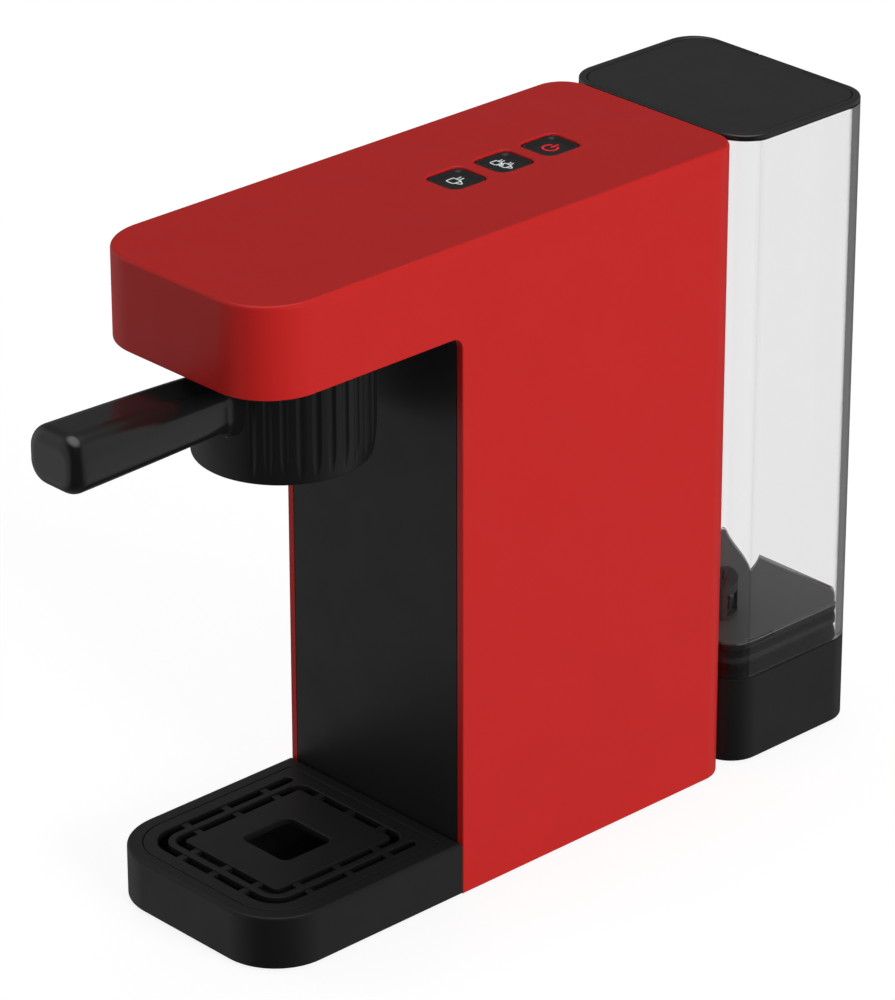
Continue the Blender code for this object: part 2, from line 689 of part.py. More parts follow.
def make_drip_grate():
    lift = empty("grate_lift_axis", (0, (GRATE_FRONT + GRATE_REAR) / 2, TRAY_TOP), machine)
    low, high = TRAY_TOP - GRATE_DEPTH - 2, TRAY_TOP + 2
    grate = prism("drip_grate", grate_plan(0), TRAY_TOP - GRATE_DEPTH, TRAY_TOP, "black_plastic", on=lift)
    cut(grate, *make_channel_cutters(low, high, lift))
    cut(grate, prism("cut_grate_drain", rounded(12.9, 39.4, 64.4, 3.2, 3.2), low, high, on=lift))
    join(grate, make_ribs(lift))
    return smooth(grate, 30)


# Water circuit

PUMP = (0.0, 205.0)
PUMP_LOW = 58.0
SHELVES = (14.0, 82.0)  # the bracket's shelves above the pump's lower end
METER = (-26.0, 204.0)
METER_INLET = 19.0
METER_TOP = 36.0


def make_heater():
    low, high = (-32, 112, 190), (32, 170, 228)
    heater = block("thermoblock", low, high, "aluminium")
    for index in range(4):
        y = 122 + 12 * index
        cut(heater, block(f"cut_heater_fin_{index + 1}", (-40, y, 222), (40, y + 4, 240)))
    stub = [(0, 178), (4.5, 178), (4.5, 192), (0, 192)]
    join(heater, turned("add_heater_inlet", stub, centre=(0, 158), steps=12))
    cut(heater, prism("cut_heater_inlet", circle(0, 158, 2.3, 10), 170, 200))
    cut(heater, prism("cut_heater_outlet", circle(18, 208, 2.3, 10), 100, 120, axis="Y"))
    cutout = [(0, 228.3), (8, 228.3), (8, 232), (5, 232), (5, 236), (0, 236)]
    turned("thermal_cutout", cutout, "stainless", (-20, 141), steps=16)


def make_pump():
    """An upright vibratory pump: its coil frame, and the tube through it that holds its piston and valves."""
    low, top = PUMP_LOW, PUMP_LOW + 104
    side = 22
    coil_plan = rounded(side, PUMP[1] - side, PUMP[1] + side, 3, 3)
    coil = prism("pump_coil", coil_plan, low + 26, low + 76, "gloss_black")
    cut(coil, prism("cut_pump_bore", circle(*PUMP, 9.8, 16), low + 10, top))
    core = [(0, low), (3, low), (3, low + 10), (9.5, low + 10), (9.5, top - 16), (6, top - 10)]
    core += [(3, top - 10), (3, top), (0, top)]
    core = turned("pump_core", core, "brass", PUMP, steps=16)
    cut(core, prism("cut_pump_channel", circle(*PUMP, 1.5, 8), low - 5, top + 5))
    for name, shelf in zip(("pump_mount_lower", "pump_mount_upper"), SHELVES):
        foot = low + shelf - 2
        profile = [(9.8, foot), (15, foot), (15, foot + 2), (12, foot + 2), (12, foot + 4), (15, foot + 4)]
        profile += [(15, foot + 6), (9.8, foot + 6)]
        turned(name, profile, "black_rubber", PUMP, steps=16)


def make_pump_bracket():
    """A folded steel strip: a foot on the chassis, an upright, and a shelf in each rubber mount's groove."""
    back = PUMP[1] - 30.0
    lip = PUMP[1] + 18.0
    thick = 1.4
    floor = PLATE_TOP + GAP
    lower, upper = [PUMP_LOW + shelf + GAP for shelf in SHELVES]
    inner = back + thick
    profile = [
        (back, floor),
        (back + 18, floor),
        (back + 18, floor + thick),
        (inner, floor + thick),
        (inner, lower),
        (lip, lower),
        (lip, lower + thick),
        (inner, lower + thick),
        (inner, upper),
        (lip, upper),
        (lip, upper + thick),
        (back, upper + thick),
    ]
    bracket = prism("pump_bracket", profile, -19, 19, "stainless", axis="X")
    for index, low in enumerate((lower, upper), 1):
        cut(bracket, prism(f"cut_bracket_{index}", circle(*PUMP, 12.6, 16), low - 2, low + 4))
    return bracket


def make_flow_meter():
    """A turbine meter: a round chamber with its inlet at the rear and its outlet on top."""
    x, y = METER
    chamber = [(0, 12), (13, 12), (13, 26), (10, 28), (0, 28)]
    meter = turned("flow_meter", chamber, "natural_plastic", METER)
    join(meter, prism("add_meter_inlet", circle(x, METER_INLET, 3.2, 12), y + 8, y + 20, axis="Y"))
    join(meter, prism("add_meter_outlet", circle(x, y, 3.2, 12), 26, METER_TOP))
    cut(meter, prism("cut_meter_inlet", circle(x, METER_INLET, 1.8, 8), y + 2, y + 30, axis="Y"))
    cut(meter, prism("cut_meter_outlet", circle(x, y, 1.8, 8), METER_INLET - 2, METER_TOP + 10))


def make_hoses():
    """Each hose butts on its fittings with a small gap."""
    x, y = METER
    socket_low = 22 - GAP
    hose("inlet_hose", [
        (VALVE_X, VALVE_Y, socket_low),
        (VALVE_X, VALVE_Y, 19),
        (14, 265, 14),
        (4, 256, 14),
        (-12, 247, 16),
        (-24, 239, 18.5),
        (x, y + 27, METER_INLET),
        (x, y + 20 + GAP, METER_INLET),
    ], 3.6, 2.2, "silicone")
    pump_y = PUMP[1]
    hose("suction_hose", [
        (x, y, METER_TOP + GAP),
        (x, y, 41),
        (x + 4, y, 48),
        (x + 12, y, 50),
        (-6, pump_y, 45),
        (-1, pump_y, 47),
        (0, pump_y, 52),
        (0, pump_y, PUMP_LOW - GAP),
    ], 3.0, 1.8, "silicone")
    pump_top = PUMP_LOW + 104 + GAP
    hose("pressure_tube", [
        (0, pump_y, pump_top),
        (0, pump_y, pump_top + 5),
        (0, pump_y - 7, pump_top + 10),
        (0, pump_y - 19, pump_top + 8),
        (0, 172, 164),
        (0, 161, 164),
        (0, 158, 169),
        (0, 158, 178 - GAP),
    ], 2.0, 1.1, "natural_plastic")
    hose("brew_tube", [
        (18, 119.5, 208),
        (18, 115, 208),
        (18, 109, 208),
        (17, 105, 213),
        (10, 105, 235),
        (3, 104.5, 250),
        (0, 102, 257),
        (0, 97, 258),
        (0, 92, 258),
        (0, 86, 258),
    ], 2.0, 1.1, "natural_plastic")


# Tank and its dock


def tank_plan(inset):
    radius = max(TANK_RADIUS - inset, 1.0)
    return rounded(HALF - inset, TANK_FRONT + inset, TANK_REAR - inset, radius, radius)


GLAND = (-26.0, 16.0)


def make_dock():
    dock = prism("dock_base", tank_plan(0), 0, DOCK_TOP, "black_plastic")
    cut(dock, prism("cut_dock_cavity", tank_plan(2.8), -1, DOCK_TOP - 2.8))
    cut(dock, block("cut_dock_window", (-REAR_WINDOW, TANK_FRONT - 1, -1), (REAR_WINDOW, TANK_FRONT + 4, 30)))
    cut(dock, prism("cut_dock_socket", circle(VALVE_X, VALVE_Y, 9, 24), 30, 40))
    cut(dock, prism("cut_dock_gland", circle(*GLAND, 6.5, 20), TANK_REAR - 6, TANK_REAR + 1, axis="Y"))
    smooth(dock, 30)
    place = (VALVE_X, VALVE_Y)
    socket = [(1.8, 22), (3.5, 22), (3.5, 29), (8.7, 31), (8.7, DOCK_TOP + GAP), (11, DOCK_TOP + GAP)]
    socket += [(11, 39.6), (5.0, 39.6), (3.2, 40.5), (3.2, 45.0), (1.8, 45.0)]
    turned("dock_socket", socket, "gloss_black", place, steps=16)
    turned("dock_seal", [(5.3, 39.9), (8.4, 39.9), (7.6, 41.8), (5.3, 41.8)], "silicone", place, steps=16)
    rear = TANK_REAR
    gland = [(3.4, rear - 10), (8.6, rear - 10), (8.6, rear - 2.8 - GAP), (6.2, rear - 2.8 - GAP)]
    gland += [(6.2, rear - 0.2), (5.2, rear), (3.4, rear)]
    turned("cord_gland", gland, "black_rubber", GLAND, axis="Y", steps=16)


def make_tank():
    lift = empty("tank_lift_axis", (0, (TANK_FRONT + TANK_REAR) / 2, DOCK_TOP), machine)
    low = DOCK_TOP + GAP
    rim_low = HEIGHT - 2.0
    shell = prism("tank_shell", tank_plan(0), low, rim_low - GAP, "clear_plastic", on=lift)
    cut(shell, prism("cut_tank_inside", tank_plan(TANK_WALL), 0, REACH, on=lift))
    smooth(shell, 30)
    fit = TANK_WALL + GAP
    base = prism("tank_base", tank_plan(fit), TANK_FLOOR - 2.7, TANK_FLOOR, "black_plastic", on=lift)
    join(base, prism("add_tank_base_wall", tank_plan(8), low + GAP, TANK_FLOOR - 2, on=lift))
    cut(base, prism("cut_tank_base_cavity", tank_plan(10.2), 0, TANK_FLOOR - 3, on=lift))
    join(base, prism("add_valve_boss", circle(VALVE_X, VALVE_Y, 7.5, 20), 47.5, TANK_FLOOR - 1, on=lift))
    cut(base, prism("cut_valve_hole", circle(VALVE_X, VALVE_Y, 3.4, 16), 40, 60, on=lift))
    smooth(base, 30)
    gasket = prism("tank_gasket", tank_plan(fit), 44.2, 46.9, "black_rubber", on=lift)
    cut(gasket, prism("cut_gasket_inside", tank_plan(8 - GAP), 40, 50, on=lift))
    smooth(gasket, 30)
    rim = prism("tank_rim", tank_plan(0), rim_low, HEIGHT, "gloss_black", on=lift)
    opening = rounded(46.3, TANK_FRONT + 2.3, TANK_REAR - 2.3, 11.5, 11.5)
    ledge = rounded(45.1, TANK_FRONT + 3.5, TANK_REAR - 3.5, 10.3, 10.3)
    cut(rim, prism("cut_rim_opening", opening, rim_low + 0.5, REACH, on=lift))
    cut(rim, prism("cut_rim_ledge", ledge, 0, REACH, on=lift))
    notch = (-12.8 - GAP, TANK_REAR - 6, rim_low + 0.5), (12.8 + GAP, TANK_REAR + 1, REACH)
    cut(rim, block("cut_rim_notch", *notch, on=lift))
    smooth(rim, 30)
    make_lid(lift, rim_low)
    make_valve(lift)


def make_lid(lift, rim_low):
    """Drops into the rim, and its rear tab reaches the tank's outer face."""
    up = empty("lid_lift_axis", (0, lift["place"][1], HEIGHT), lift)
    plate = rounded(46.3 - GAP, TANK_FRONT + 2.3 + GAP, TANK_REAR - 2.3 - GAP, 11.2, 11.2)
    low = rim_low + 0.5 + GAP
    top = HEIGHT - 0.3
    lid = prism("tank_lid", plate, low, top, "lid_plastic", on=up)
    boss = rounded(44.7, TANK_FRONT + 3.9, TANK_REAR - 3.9, 9.9, 9.9)
    join(lid, prism("add_lid_boss", boss, low - 3, low + 0.5, on=up))
    join(lid, block("add_lid_tab", (-12.8, TANK_REAR - 8, low), (12.8, TANK_REAR, top), on=up))
    smooth(lid, 30)


SPRING_LOW = 56.3
SPRING_HIGH = 66.0


def make_valve(lift):
    place = (VALVE_X, VALVE_Y)
    up = empty("valve_axis", (*place, TANK_FLOOR), lift)
    plunger = [(0, 45.4), (2.4, 45.4), (2.4, 53.0), (4.4, 53.6), (4.4, 54.8), (6.6, 54.8), (6.6, 56.0)]
    plunger += [(1.6, 56.0), (1.6, 72.0), (0, 72.6)]
    turned("valve_plunger", plunger, "natural_plastic", place, steps=16, on=up)
    seal = [(4.7, 53.3), (6.4, 53.3), (6.4, 54.5), (4.7, 54.5)]
    turned("valve_seal", seal, "black_rubber", place, steps=16, on=up)
    cage = [(7.5, 53.3), (10.5, 53.3), (10.5, 68.3), (2.2, 68.3), (2.2, 66.3), (7.5, 66.3)]
    cage = turned("valve_cage", cage, "black_plastic", place, steps=16, on=lift)
    for name, reach_x, reach_y in (("cut_cage_across", 20, 4.5), ("cut_cage_along", 4.5, 20)):
        low = (VALVE_X - reach_x, VALVE_Y - reach_y, 55)
        high = (VALVE_X + reach_x, VALVE_Y + reach_y, 64.5)
        cut(cage, block(name, low, high, on=lift))
    make_valve_spring(place, lift)


def make_valve_spring(place, lift):
    """A helix of round wire, swept with one ring of vertices at each step."""
    turns, steps, sides = 4, 10, 5
    coil, wire = 4.6, 0.5
    bm = bmesh.new()
    rings = []
    count = turns * steps
    for index in range(count + 1):
        turn = 2 * math.pi * index / steps
        height = SPRING_LOW + wire + (SPRING_HIGH - SPRING_LOW - 2 * wire) * index / count
        out = Vector((math.cos(turn), math.sin(turn), 0))
        centre = Vector((*place, height)) + out * coil
        spokes = circle(0, 0, wire, sides)
        rings.append([bm.verts.new(centre + out * u + Vector((0, 0, v))) for u, v in spokes])
    bm.faces.new(rings[0])
    bm.faces.new(rings[-1])
    for ring, other in zip(rings, rings[1:]):
        for step in range(sides):
            after = (step + 1) % sides
            bm.faces.new((ring[step], ring[after], other[after], other[step]))
    smooth(solid("valve_spring", bm, "stainless", lift))


def make_casing():
    make_outer_shell()
    make_front_panel()
    make_head_cover()
    make_base_plate()
    make_feet()
    make_base_screws()
    make_rear_cover()


def make_water_circuit():
    make_heater()
    make_pump()
    make_pump_bracket()
    make_flow_meter()
    make_hoses()


clear_scene()
finishes = make_finishes()
machine = empty("machine_origin", (0, 0, 0))
machine.location = Vector((0, -(HANDLE_END + TANK_REAR) / 2, FOOT_PROUD)) * MM
make_casing()
make_electronics()
make_group_ring()
make_group_head()
make_shower()
make_portafilter()
make_drip_tray()
make_drip_grate()
make_water_circuit()
make_dock()
make_tank()
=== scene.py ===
"""Looks of the slim espresso machine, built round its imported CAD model.

Shapes are drawn in millimetres in the machine's own drawing: X is zero on the centre plane, Y is zero at
the front of the casing's head and Z is zero at the casing's underside. ORIGIN, read from the casing's box,
carries them to the row frame, and the driving dimensions are read from the CAD nodes' boxes.
"""

import math

import bmesh
import bpy
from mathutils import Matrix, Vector


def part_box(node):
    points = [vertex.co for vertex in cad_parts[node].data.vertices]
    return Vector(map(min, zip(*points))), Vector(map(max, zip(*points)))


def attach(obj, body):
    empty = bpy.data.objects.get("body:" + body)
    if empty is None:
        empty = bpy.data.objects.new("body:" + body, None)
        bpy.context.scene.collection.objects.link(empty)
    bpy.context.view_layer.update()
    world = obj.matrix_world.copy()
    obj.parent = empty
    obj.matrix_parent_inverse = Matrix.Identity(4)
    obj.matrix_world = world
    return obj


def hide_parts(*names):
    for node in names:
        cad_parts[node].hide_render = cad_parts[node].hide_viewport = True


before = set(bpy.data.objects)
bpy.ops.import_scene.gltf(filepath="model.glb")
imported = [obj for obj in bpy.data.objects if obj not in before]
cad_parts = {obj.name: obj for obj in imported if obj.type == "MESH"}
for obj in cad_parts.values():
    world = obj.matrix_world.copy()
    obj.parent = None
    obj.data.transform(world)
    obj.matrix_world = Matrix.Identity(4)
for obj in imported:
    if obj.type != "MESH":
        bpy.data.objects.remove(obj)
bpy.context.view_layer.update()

MM = 0.001
ORIGIN = Vector((0.0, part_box("outer_shell")[0].y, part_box("outer_shell")[0].z))


def drawn(node):
    """A CAD node's box in the drawing's millimetres."""
    low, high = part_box(node)
    return (low - ORIGIN) / MM, (high - ORIGIN) / MM


shell_low, shell_high = drawn("outer_shell")
panel_low, panel_high = drawn("front_panel")
cover_low, cover_high = drawn("head_cover")
tray_low, tray_high = drawn("drip_tray")
grate_low, grate_high = drawn("drip_grate")
cup_low, cup_high = drawn("portafilter_cup")
handle_low, handle_high = drawn("portafilter_handle")
dock_low, dock_high = drawn("dock_base")
tank_low, tank_high = drawn("tank_shell")
rim_low, rim_high = drawn("tank_rim")
lid_low, lid_high = drawn("tank_lid")
base_low, base_high = drawn("tank_base")
gasket_low, gasket_high = drawn("tank_gasket")

HALF = shell_high.x
HEIGHT = shell_high.z
REAR = shell_high.y
WALL = 3.2
HEAD_UNDER = cover_low.z
ARCH_RADIUS = 5.0
COLUMN_FRONT = panel_low.y + ARCH_RADIUS
FRONT_RADIUS = 24.8
REAR_RADIUS = 13.5
TANK_RADIUS = 14.0
TANK_FRONT = tank_low.y
TANK_REAR = tank_high.y
GROUP_Y = (cup_low.y + cup_high.y) / 2
CUP_RADIUS = cup_high.x
CORNER_STEPS = 20
TURNED_STEPS = 96
LEAST_RADIUS = 0.02
GAP = 0.3  # between neighbouring parts
FAR = 400  # past every side of the machine


# Shapes


def filleted(corners, steps=CORNER_STEPS):
    """A closed outline through corners (u, v, radius), each rounded by an arc that touches both its edges."""
    outline = []
    for index, (u, v, radius) in enumerate(corners):
        here = Vector((u, v))
        if radius <= 0:
            outline.append((u, v))
            continue
        back = (Vector(corners[index - 1][:2]) - here).normalized()
        ahead = (Vector(corners[(index + 1) % len(corners)][:2]) - here).normalized()
        half = back.angle(ahead) / 2
        centre = here + (back + ahead).normalized() * (radius / math.sin(half))
        start = here + back * (radius / math.tan(half)) - centre
        end = here + ahead * (radius / math.tan(half)) - centre
        sweep = math.pi - 2 * half
        for step in range(steps + 1):
            part = step / steps
            spoke = start * math.sin((1 - part) * sweep) + end * math.sin(part * sweep)
            outline.append(tuple(centre + spoke / math.sin(sweep)))
    return outline


def rounded(x_half, y_front, y_rear, front_radius, rear_radius, steps=CORNER_STEPS):
    front = max(front_radius, LEAST_RADIUS)
    rear = max(rear_radius, LEAST_RADIUS)
    corners = [
        (-x_half, y_front, front),
        (x_half, y_front, front),
        (x_half, y_rear, rear),
        (-x_half, y_rear, rear),
    ]
    return filleted(corners, steps)


def casing_plan(inset):
    return rounded(HALF - inset, inset, REAR - inset, FRONT_RADIUS - inset, REAR_RADIUS - inset)


def tank_plan(inset):
    radius = max(TANK_RADIUS - inset, 1.0)
    return rounded(HALF - inset, TANK_FRONT + inset, TANK_REAR - inset, radius, radius)


def tray_plan(inset):
    return rounded(HALF - inset, tray_low.y + inset, tray_high.y - inset, FRONT_RADIUS - inset, 0)


def circle(u, v, radius, steps=TURNED_STEPS):
    turns = [2 * math.pi * step / steps for step in range(steps)]
    return [(u + radius * math.cos(turn), v + radius * math.sin(turn)) for turn in turns]


def eased(low, high, foot=0.0, crown=0.0, steps=5):
    """Stations (inset, z) of a straight wall whose lower and upper edges are rounded off."""
    stations = [(0.0, low)] if foot == 0 else []
    if foot:
        for step in range(steps + 1):
            lean = math.radians(90) * step / steps
            stations.append((foot * (1 - math.sin(lean)), low + foot * (1 - math.cos(lean))))
    if crown == 0:
        return stations + [(0.0, high)]
    for step in range(steps + 1):
        lean = math.radians(90) * step / steps
        stations.append((crown * (1 - math.cos(lean)), high - crown + crown * math.sin(lean)))
    return stations


def flared(low, high, lip, steps=5, above=3.0):
    """Stations of a cutter that opens out at its top, so that the hole it leaves has a rounded lip."""
    stations = [(0.0, low)]
    for step in range(steps + 1):
        lean = math.radians(90) * step / steps
        stations.append((-lip * (1 - math.cos(lean)), high - lip + lip * math.sin(lean)))
    return stations + [(-lip, high + above)]


def loft(plan, stations):
    """A closed solid through plan(inset) at each station's height."""
    bm = bmesh.new()
    rings = [[bm.verts.new((x, y, z)) for x, y in plan(inset)] for inset, z in stations]
    for ring, above in zip(rings, rings[1:]):
        for index in range(len(ring)):
            after = (index + 1) % len(ring)
            bm.faces.new((ring[index], ring[after], above[after], above[index]))
    bm.faces.new(rings[0][::-1])
    bm.faces.new(rings[-1])
    bmesh.ops.recalc_face_normals(bm, faces=bm.faces)
    return bm


def prism(outline, low, high, axis="Z"):
    place = {
        "Z": lambda u, v, w: (u, v, w),
        "X": lambda u, v, w: (w, u, v),
        "Y": lambda u, v, w: (u, w, v),
    }[axis]
    bm = bmesh.new()
    floor = [bm.verts.new(place(u, v, low)) for u, v in outline]
    roof = [bm.verts.new(place(u, v, high)) for u, v in outline]
    bm.faces.new(floor)
    bm.faces.new(roof)
    for index in range(len(outline)):
        after = (index + 1) % len(outline)
        bm.faces.new((floor[index], floor[after], roof[after], roof[index]))
    bmesh.ops.recalc_face_normals(bm, faces=bm.faces)
    return bm


def block(low, high):
    plan = [(low[0], low[1]), (high[0], low[1]), (high[0], high[1]), (low[0], high[1])]
    return prism(plan, low[2], high[2])


def turned(profile, centre=(0.0, 0.0), steps=TURNED_STEPS, radius_at=None):
    """A closed profile of (radius, height) turned about a vertical axis; radius_at may reshape it."""
    bm = bmesh.new()
    rings = []
    for radius, height in profile:
        if radius <= 0:
            rings.append([bm.verts.new((centre[0], centre[1], height))])
            continue
        ring = []
        for step in range(steps):
            turn = 2 * math.pi * step / steps
            reach = radius_at(radius, height, turn) if radius_at else radius
            x, y = centre[0] + reach * math.cos(turn), centre[1] + reach * math.sin(turn)
            ring.append(bm.verts.new((x, y, height)))
        rings.append(ring)
    for index, ring in enumerate(rings):
        other = rings[(index + 1) % len(rings)]
        if len(ring) == 1 and len(other) == 1:
            continue
        for step in range(steps):
            after = (step + 1) % steps
            corners = [ring[step % len(ring)], ring[after % len(ring)]]
            corners += [other[after % len(other)], other[step % len(other)]]
            bm.faces.new(list(dict.fromkeys(corners)))
    bmesh.ops.recalc_face_normals(bm, faces=bm.faces)
    return bm


def holder(bm):
    mesh = bpy.data.meshes.new("scratch")
    bm.to_mesh(mesh)
    bm.free()
    item = bpy.data.objects.new("scratch", mesh)
    bpy.context.scene.collection.objects.link(item)
    return item


def combined(bm, tools, operation="DIFFERENCE"):
    """The mesh with each tool taken away from it, or added to it."""
    target = holder(bm)
    helpers = [holder(tool) for tool in tools]
    for helper in helpers:
        modifier = target.modifiers.new("cut", "BOOLEAN")
        modifier.operation = operation
        modifier.solver = "EXACT"
        modifier.object = helper
    bpy.context.view_layer.update()
    evaluated = target.evaluated_get(bpy.context.evaluated_depsgraph_get())
    made = bmesh.new()
    made.from_mesh(evaluated.to_mesh())
    evaluated.to_mesh_clear()
    for item in [target, *helpers]:
        mesh = item.data
        bpy.data.objects.remove(item)
        bpy.data.meshes.remove(mesh)
    return made


def ease_edges(bm, width, where=None):
    """Rounds the sharp edges whose two ends both meet the condition."""
    limit = math.radians(40)
    chosen = []
    for edge in bm.edges:
        if len(edge.link_faces) != 2 or edge.calc_face_angle(0) < limit:
            continue
        if where is None or (where(edge.verts[0].co) and where(edge.verts[1].co)):
            chosen.append(edge)
    bmesh.ops.bevel(
        bm, geom=chosen, offset=width, offset_type="OFFSET", segments=3, profile=0.5, affect="EDGES",
        clamp_overlap=True,
    )
    return bm


def piece(name, bm, look, body, replaced=(), sharp=32.0):
    """Places a drawn mesh in the row frame, smooths it and lets it ride on its body."""
    bmesh.ops.recalc_face_normals(bm, faces=bm.faces)
    for vertex in bm.verts:
        vertex.co = vertex.co * MM + ORIGIN
    mesh = bpy.data.meshes.new(name)
    bm.to_mesh(mesh)
    bm.free()
    mesh.materials.append(look)
    mesh.shade_smooth()
    mesh.set_sharp_from_angle(angle=math.radians(sharp))
    item = bpy.data.objects.new(name, mesh)
    bpy.context.scene.collection.objects.link(item)
    weigh(item)
    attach(item, body)
    if replaced:
        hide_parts(*replaced)
    return item


def weigh(item):
    """Keeps large flat faces flat where they meet rounded edges."""
    modifier = item.modifiers.new("weights", "WEIGHTED_NORMAL")
    modifier.mode = "FACE_AREA"
    modifier.keep_sharp = True


# Materials


def material(
    name,
    colour,
    roughness,
    metallic=0.0,
    specular=0.5,
    tone=0.06,
    tone_size=0.03,
    grain_size=0.0006,
    grain=0.04,
    spread=0.06,
    stretch=(1.0, 1.0, 1.0),
    transmission=0.0,
    ior=1.5,
    glow=0.0,
):
    """A Principled material whose tone, roughness and fine relief all vary over the surface.

    tone is the share by which colour varies over patches of tone_size metres; grain is the height of the fine
    texture in millimetres and grain_size its spacing in metres; spread is the variation of roughness; stretch
    draws the grain out along an axis, as brushing does; the emission argument paints light, making the
    surface shine a little in its own colour although it is no lamp.
    """
    made = bpy.data.materials.new(name)
    made.use_nodes = True
    nodes, links = made.node_tree.nodes, made.node_tree.links
    shader = nodes["Principled BSDF"]
    shader.inputs["Metallic"].default_value = metallic
    shader.inputs["Specular IOR Level"].default_value = specular
    shader.inputs["IOR"].default_value = ior
    shader.inputs["Transmission Weight"].default_value = transmission
    place = nodes.new("ShaderNodeTexCoord")

    def noise(size, detail=2.0, scale=None):
        texture = nodes.new("ShaderNodeTexNoise")
        texture.inputs["Scale"].default_value = 1.0 / size
        texture.inputs["Detail"].default_value = detail
        source = place.outputs["Object"]
        if scale:
            mapping = nodes.new("ShaderNodeMapping")
            mapping.inputs["Scale"].default_value = scale
            links.new(source, mapping.inputs["Vector"])
            source = mapping.outputs["Vector"]
        links.new(source, texture.inputs["Vector"])
        return texture.outputs["Fac"]

    patches = noise(tone_size, 3.0)
    fine = noise(grain_size, 2.0, stretch)
    shade = nodes.new("ShaderNodeValToRGB")
    dark, light = shade.color_ramp.elements
    dark.position, light.position = 0.3, 0.7
    dark.color = (*[channel * (1 - tone) for channel in colour], 1)
    light.color = (*[min(channel * (1 + tone), 1) for channel in colour], 1)
    blend = nodes.new("ShaderNodeMath")
    blend.operation = "MULTIPLY_ADD"
    blend.inputs[1].default_value = 0.35
    links.new(fine, blend.inputs[0])
    share = nodes.new("ShaderNodeMath")
    share.operation = "MULTIPLY"
    share.inputs[1].default_value = 0.65
    links.new(patches, share.inputs[0])
    links.new(share.outputs[0], blend.inputs[2])
    links.new(blend.outputs[0], shade.inputs["Fac"])
    links.new(shade.outputs["Color"], shader.inputs["Base Color"])
    rough = nodes.new("ShaderNodeMapRange")
    rough.inputs["From Min"].default_value = 0.3
    rough.inputs["From Max"].default_value = 0.7
    rough.inputs["To Min"].default_value = max(roughness - spread / 2, 0.0)
    rough.inputs["To Max"].default_value = min(roughness + spread / 2, 1.0)
    links.new(noise(tone_size * 0.6, 4.0), rough.inputs["Value"])
    links.new(rough.outputs[0], shader.inputs["Roughness"])
    bump = nodes.new("ShaderNodeBump")
    bump.inputs["Strength"].default_value = 1.0
    bump.inputs["Distance"].default_value = grain * MM
    links.new(fine, bump.inputs["Height"])
    links.new(bump.outputs["Normal"], shader.inputs["Normal"])
    # Painted light: the surface emits in its own colour and shines brighter than the lamps light it.
    if glow:
        links.new(shade.outputs["Color"], shader.inputs["Emission Color"])
        shader.inputs["Emission Strength"].default_value = glow
    return made


LOOKS = {
    "red_satin": material("red_satin", (0.62, 0.0165, 0.0145), 0.42, tone=0.02, grain=0.006),
    "panel_black": material("panel_black", (0.0066, 0.0066, 0.0066), 0.46, tone=0.12, grain=0.010),
    "tray_black": material("tray_black", (0.0080, 0.0080, 0.0081), 0.44, tone=0.12, grain=0.010),
    "cup_black": material("cup_black", (0.0068, 0.0068, 0.0068), 0.42, tone=0.10, grain=0.006),
    "handle_black": material(
        "handle_black", (0.006, 0.006, 0.0061), 0.18, specular=1.0, tone=0.15, grain=0.0015, spread=0.04
    ),
    "button_black": material("button_black", (0.006, 0.0062, 0.0066), 0.34, tone=0.10, grain=0.003),
    "rim_black": material(
        "rim_black", (0.007, 0.007, 0.0072), 0.22, specular=1.0, tone=0.10, grain=0.0015, spread=0.04
    ),
    "lid_satin": material("lid_satin", (0.017, 0.017, 0.0172), 0.50, tone=0.08, grain=0.012),
    "dock_black": material("dock_black", (0.0080, 0.0080, 0.0081), 0.44, tone=0.10, grain=0.008),
    "floor_black": material("floor_black", (0.004, 0.004, 0.0041), 0.40, tone=0.08, grain=0.004),
    # Painted light: a lighter copy of the tank floor's black plastic for its upward face, which is drawn
    # brighter than its walls in floor_black.
    "floor_grey": material("floor_grey", (0.14, 0.14, 0.142), 0.36, tone=0.06, grain=0.004),
    "valve_grey": material("valve_grey", (0.035, 0.035, 0.036), 0.30, tone=0.08, grain=0.004),
    "inner_black": material("inner_black", (0.010, 0.010, 0.010), 0.5, tone=0.12, grain=0.010),
    "clear": material(
        "clear", (0.955, 0.955, 0.956), 0.015, tone=0.004, spread=0.012, grain=0.0, transmission=1.0,
        ior=1.46,
    ),
    "natural": material("natural", (0.72, 0.71, 0.66), 0.42, tone=0.05, grain=0.006),
    "rubber": material("rubber", (0.020, 0.020, 0.021), 0.85, specular=0.25, tone=0.15, grain=0.03),
    "silicone": material("silicone", (0.66, 0.64, 0.60), 0.55, tone=0.06, grain=0.005),
    "steel": material(
        "steel", (0.60, 0.59, 0.57), 0.28, metallic=1.0, tone=0.05, grain=0.003, stretch=(0.05, 1.0, 1.0),
        spread=0.12,
    ),
    "aluminium": material(
        "aluminium", (0.62, 0.63, 0.64), 0.45, metallic=1.0, tone=0.08, grain=0.03, grain_size=0.0009,
        spread=0.15,
    ),
    "brass": material("brass", (0.70, 0.50, 0.21), 0.32, metallic=1.0, tone=0.08, grain=0.004, spread=0.12),
    "board": material(
        "board", (0.015, 0.13, 0.055), 0.42, tone=0.35, tone_size=0.003, grain=0.02, grain_size=0.0016
    ),
    # The printed icons carry painted light: they emit a little, so the print shines brighter than the lamps
    # light it.
    "icon_white": material("icon_white", (0.74, 0.80, 0.80), 0.5, tone=0.05, grain=0.004, glow=0.35),
    "icon_red": material("icon_red", (0.95, 0.012, 0.025), 0.4, tone=0.04, grain=0.003, glow=0.35),
}


# Casing


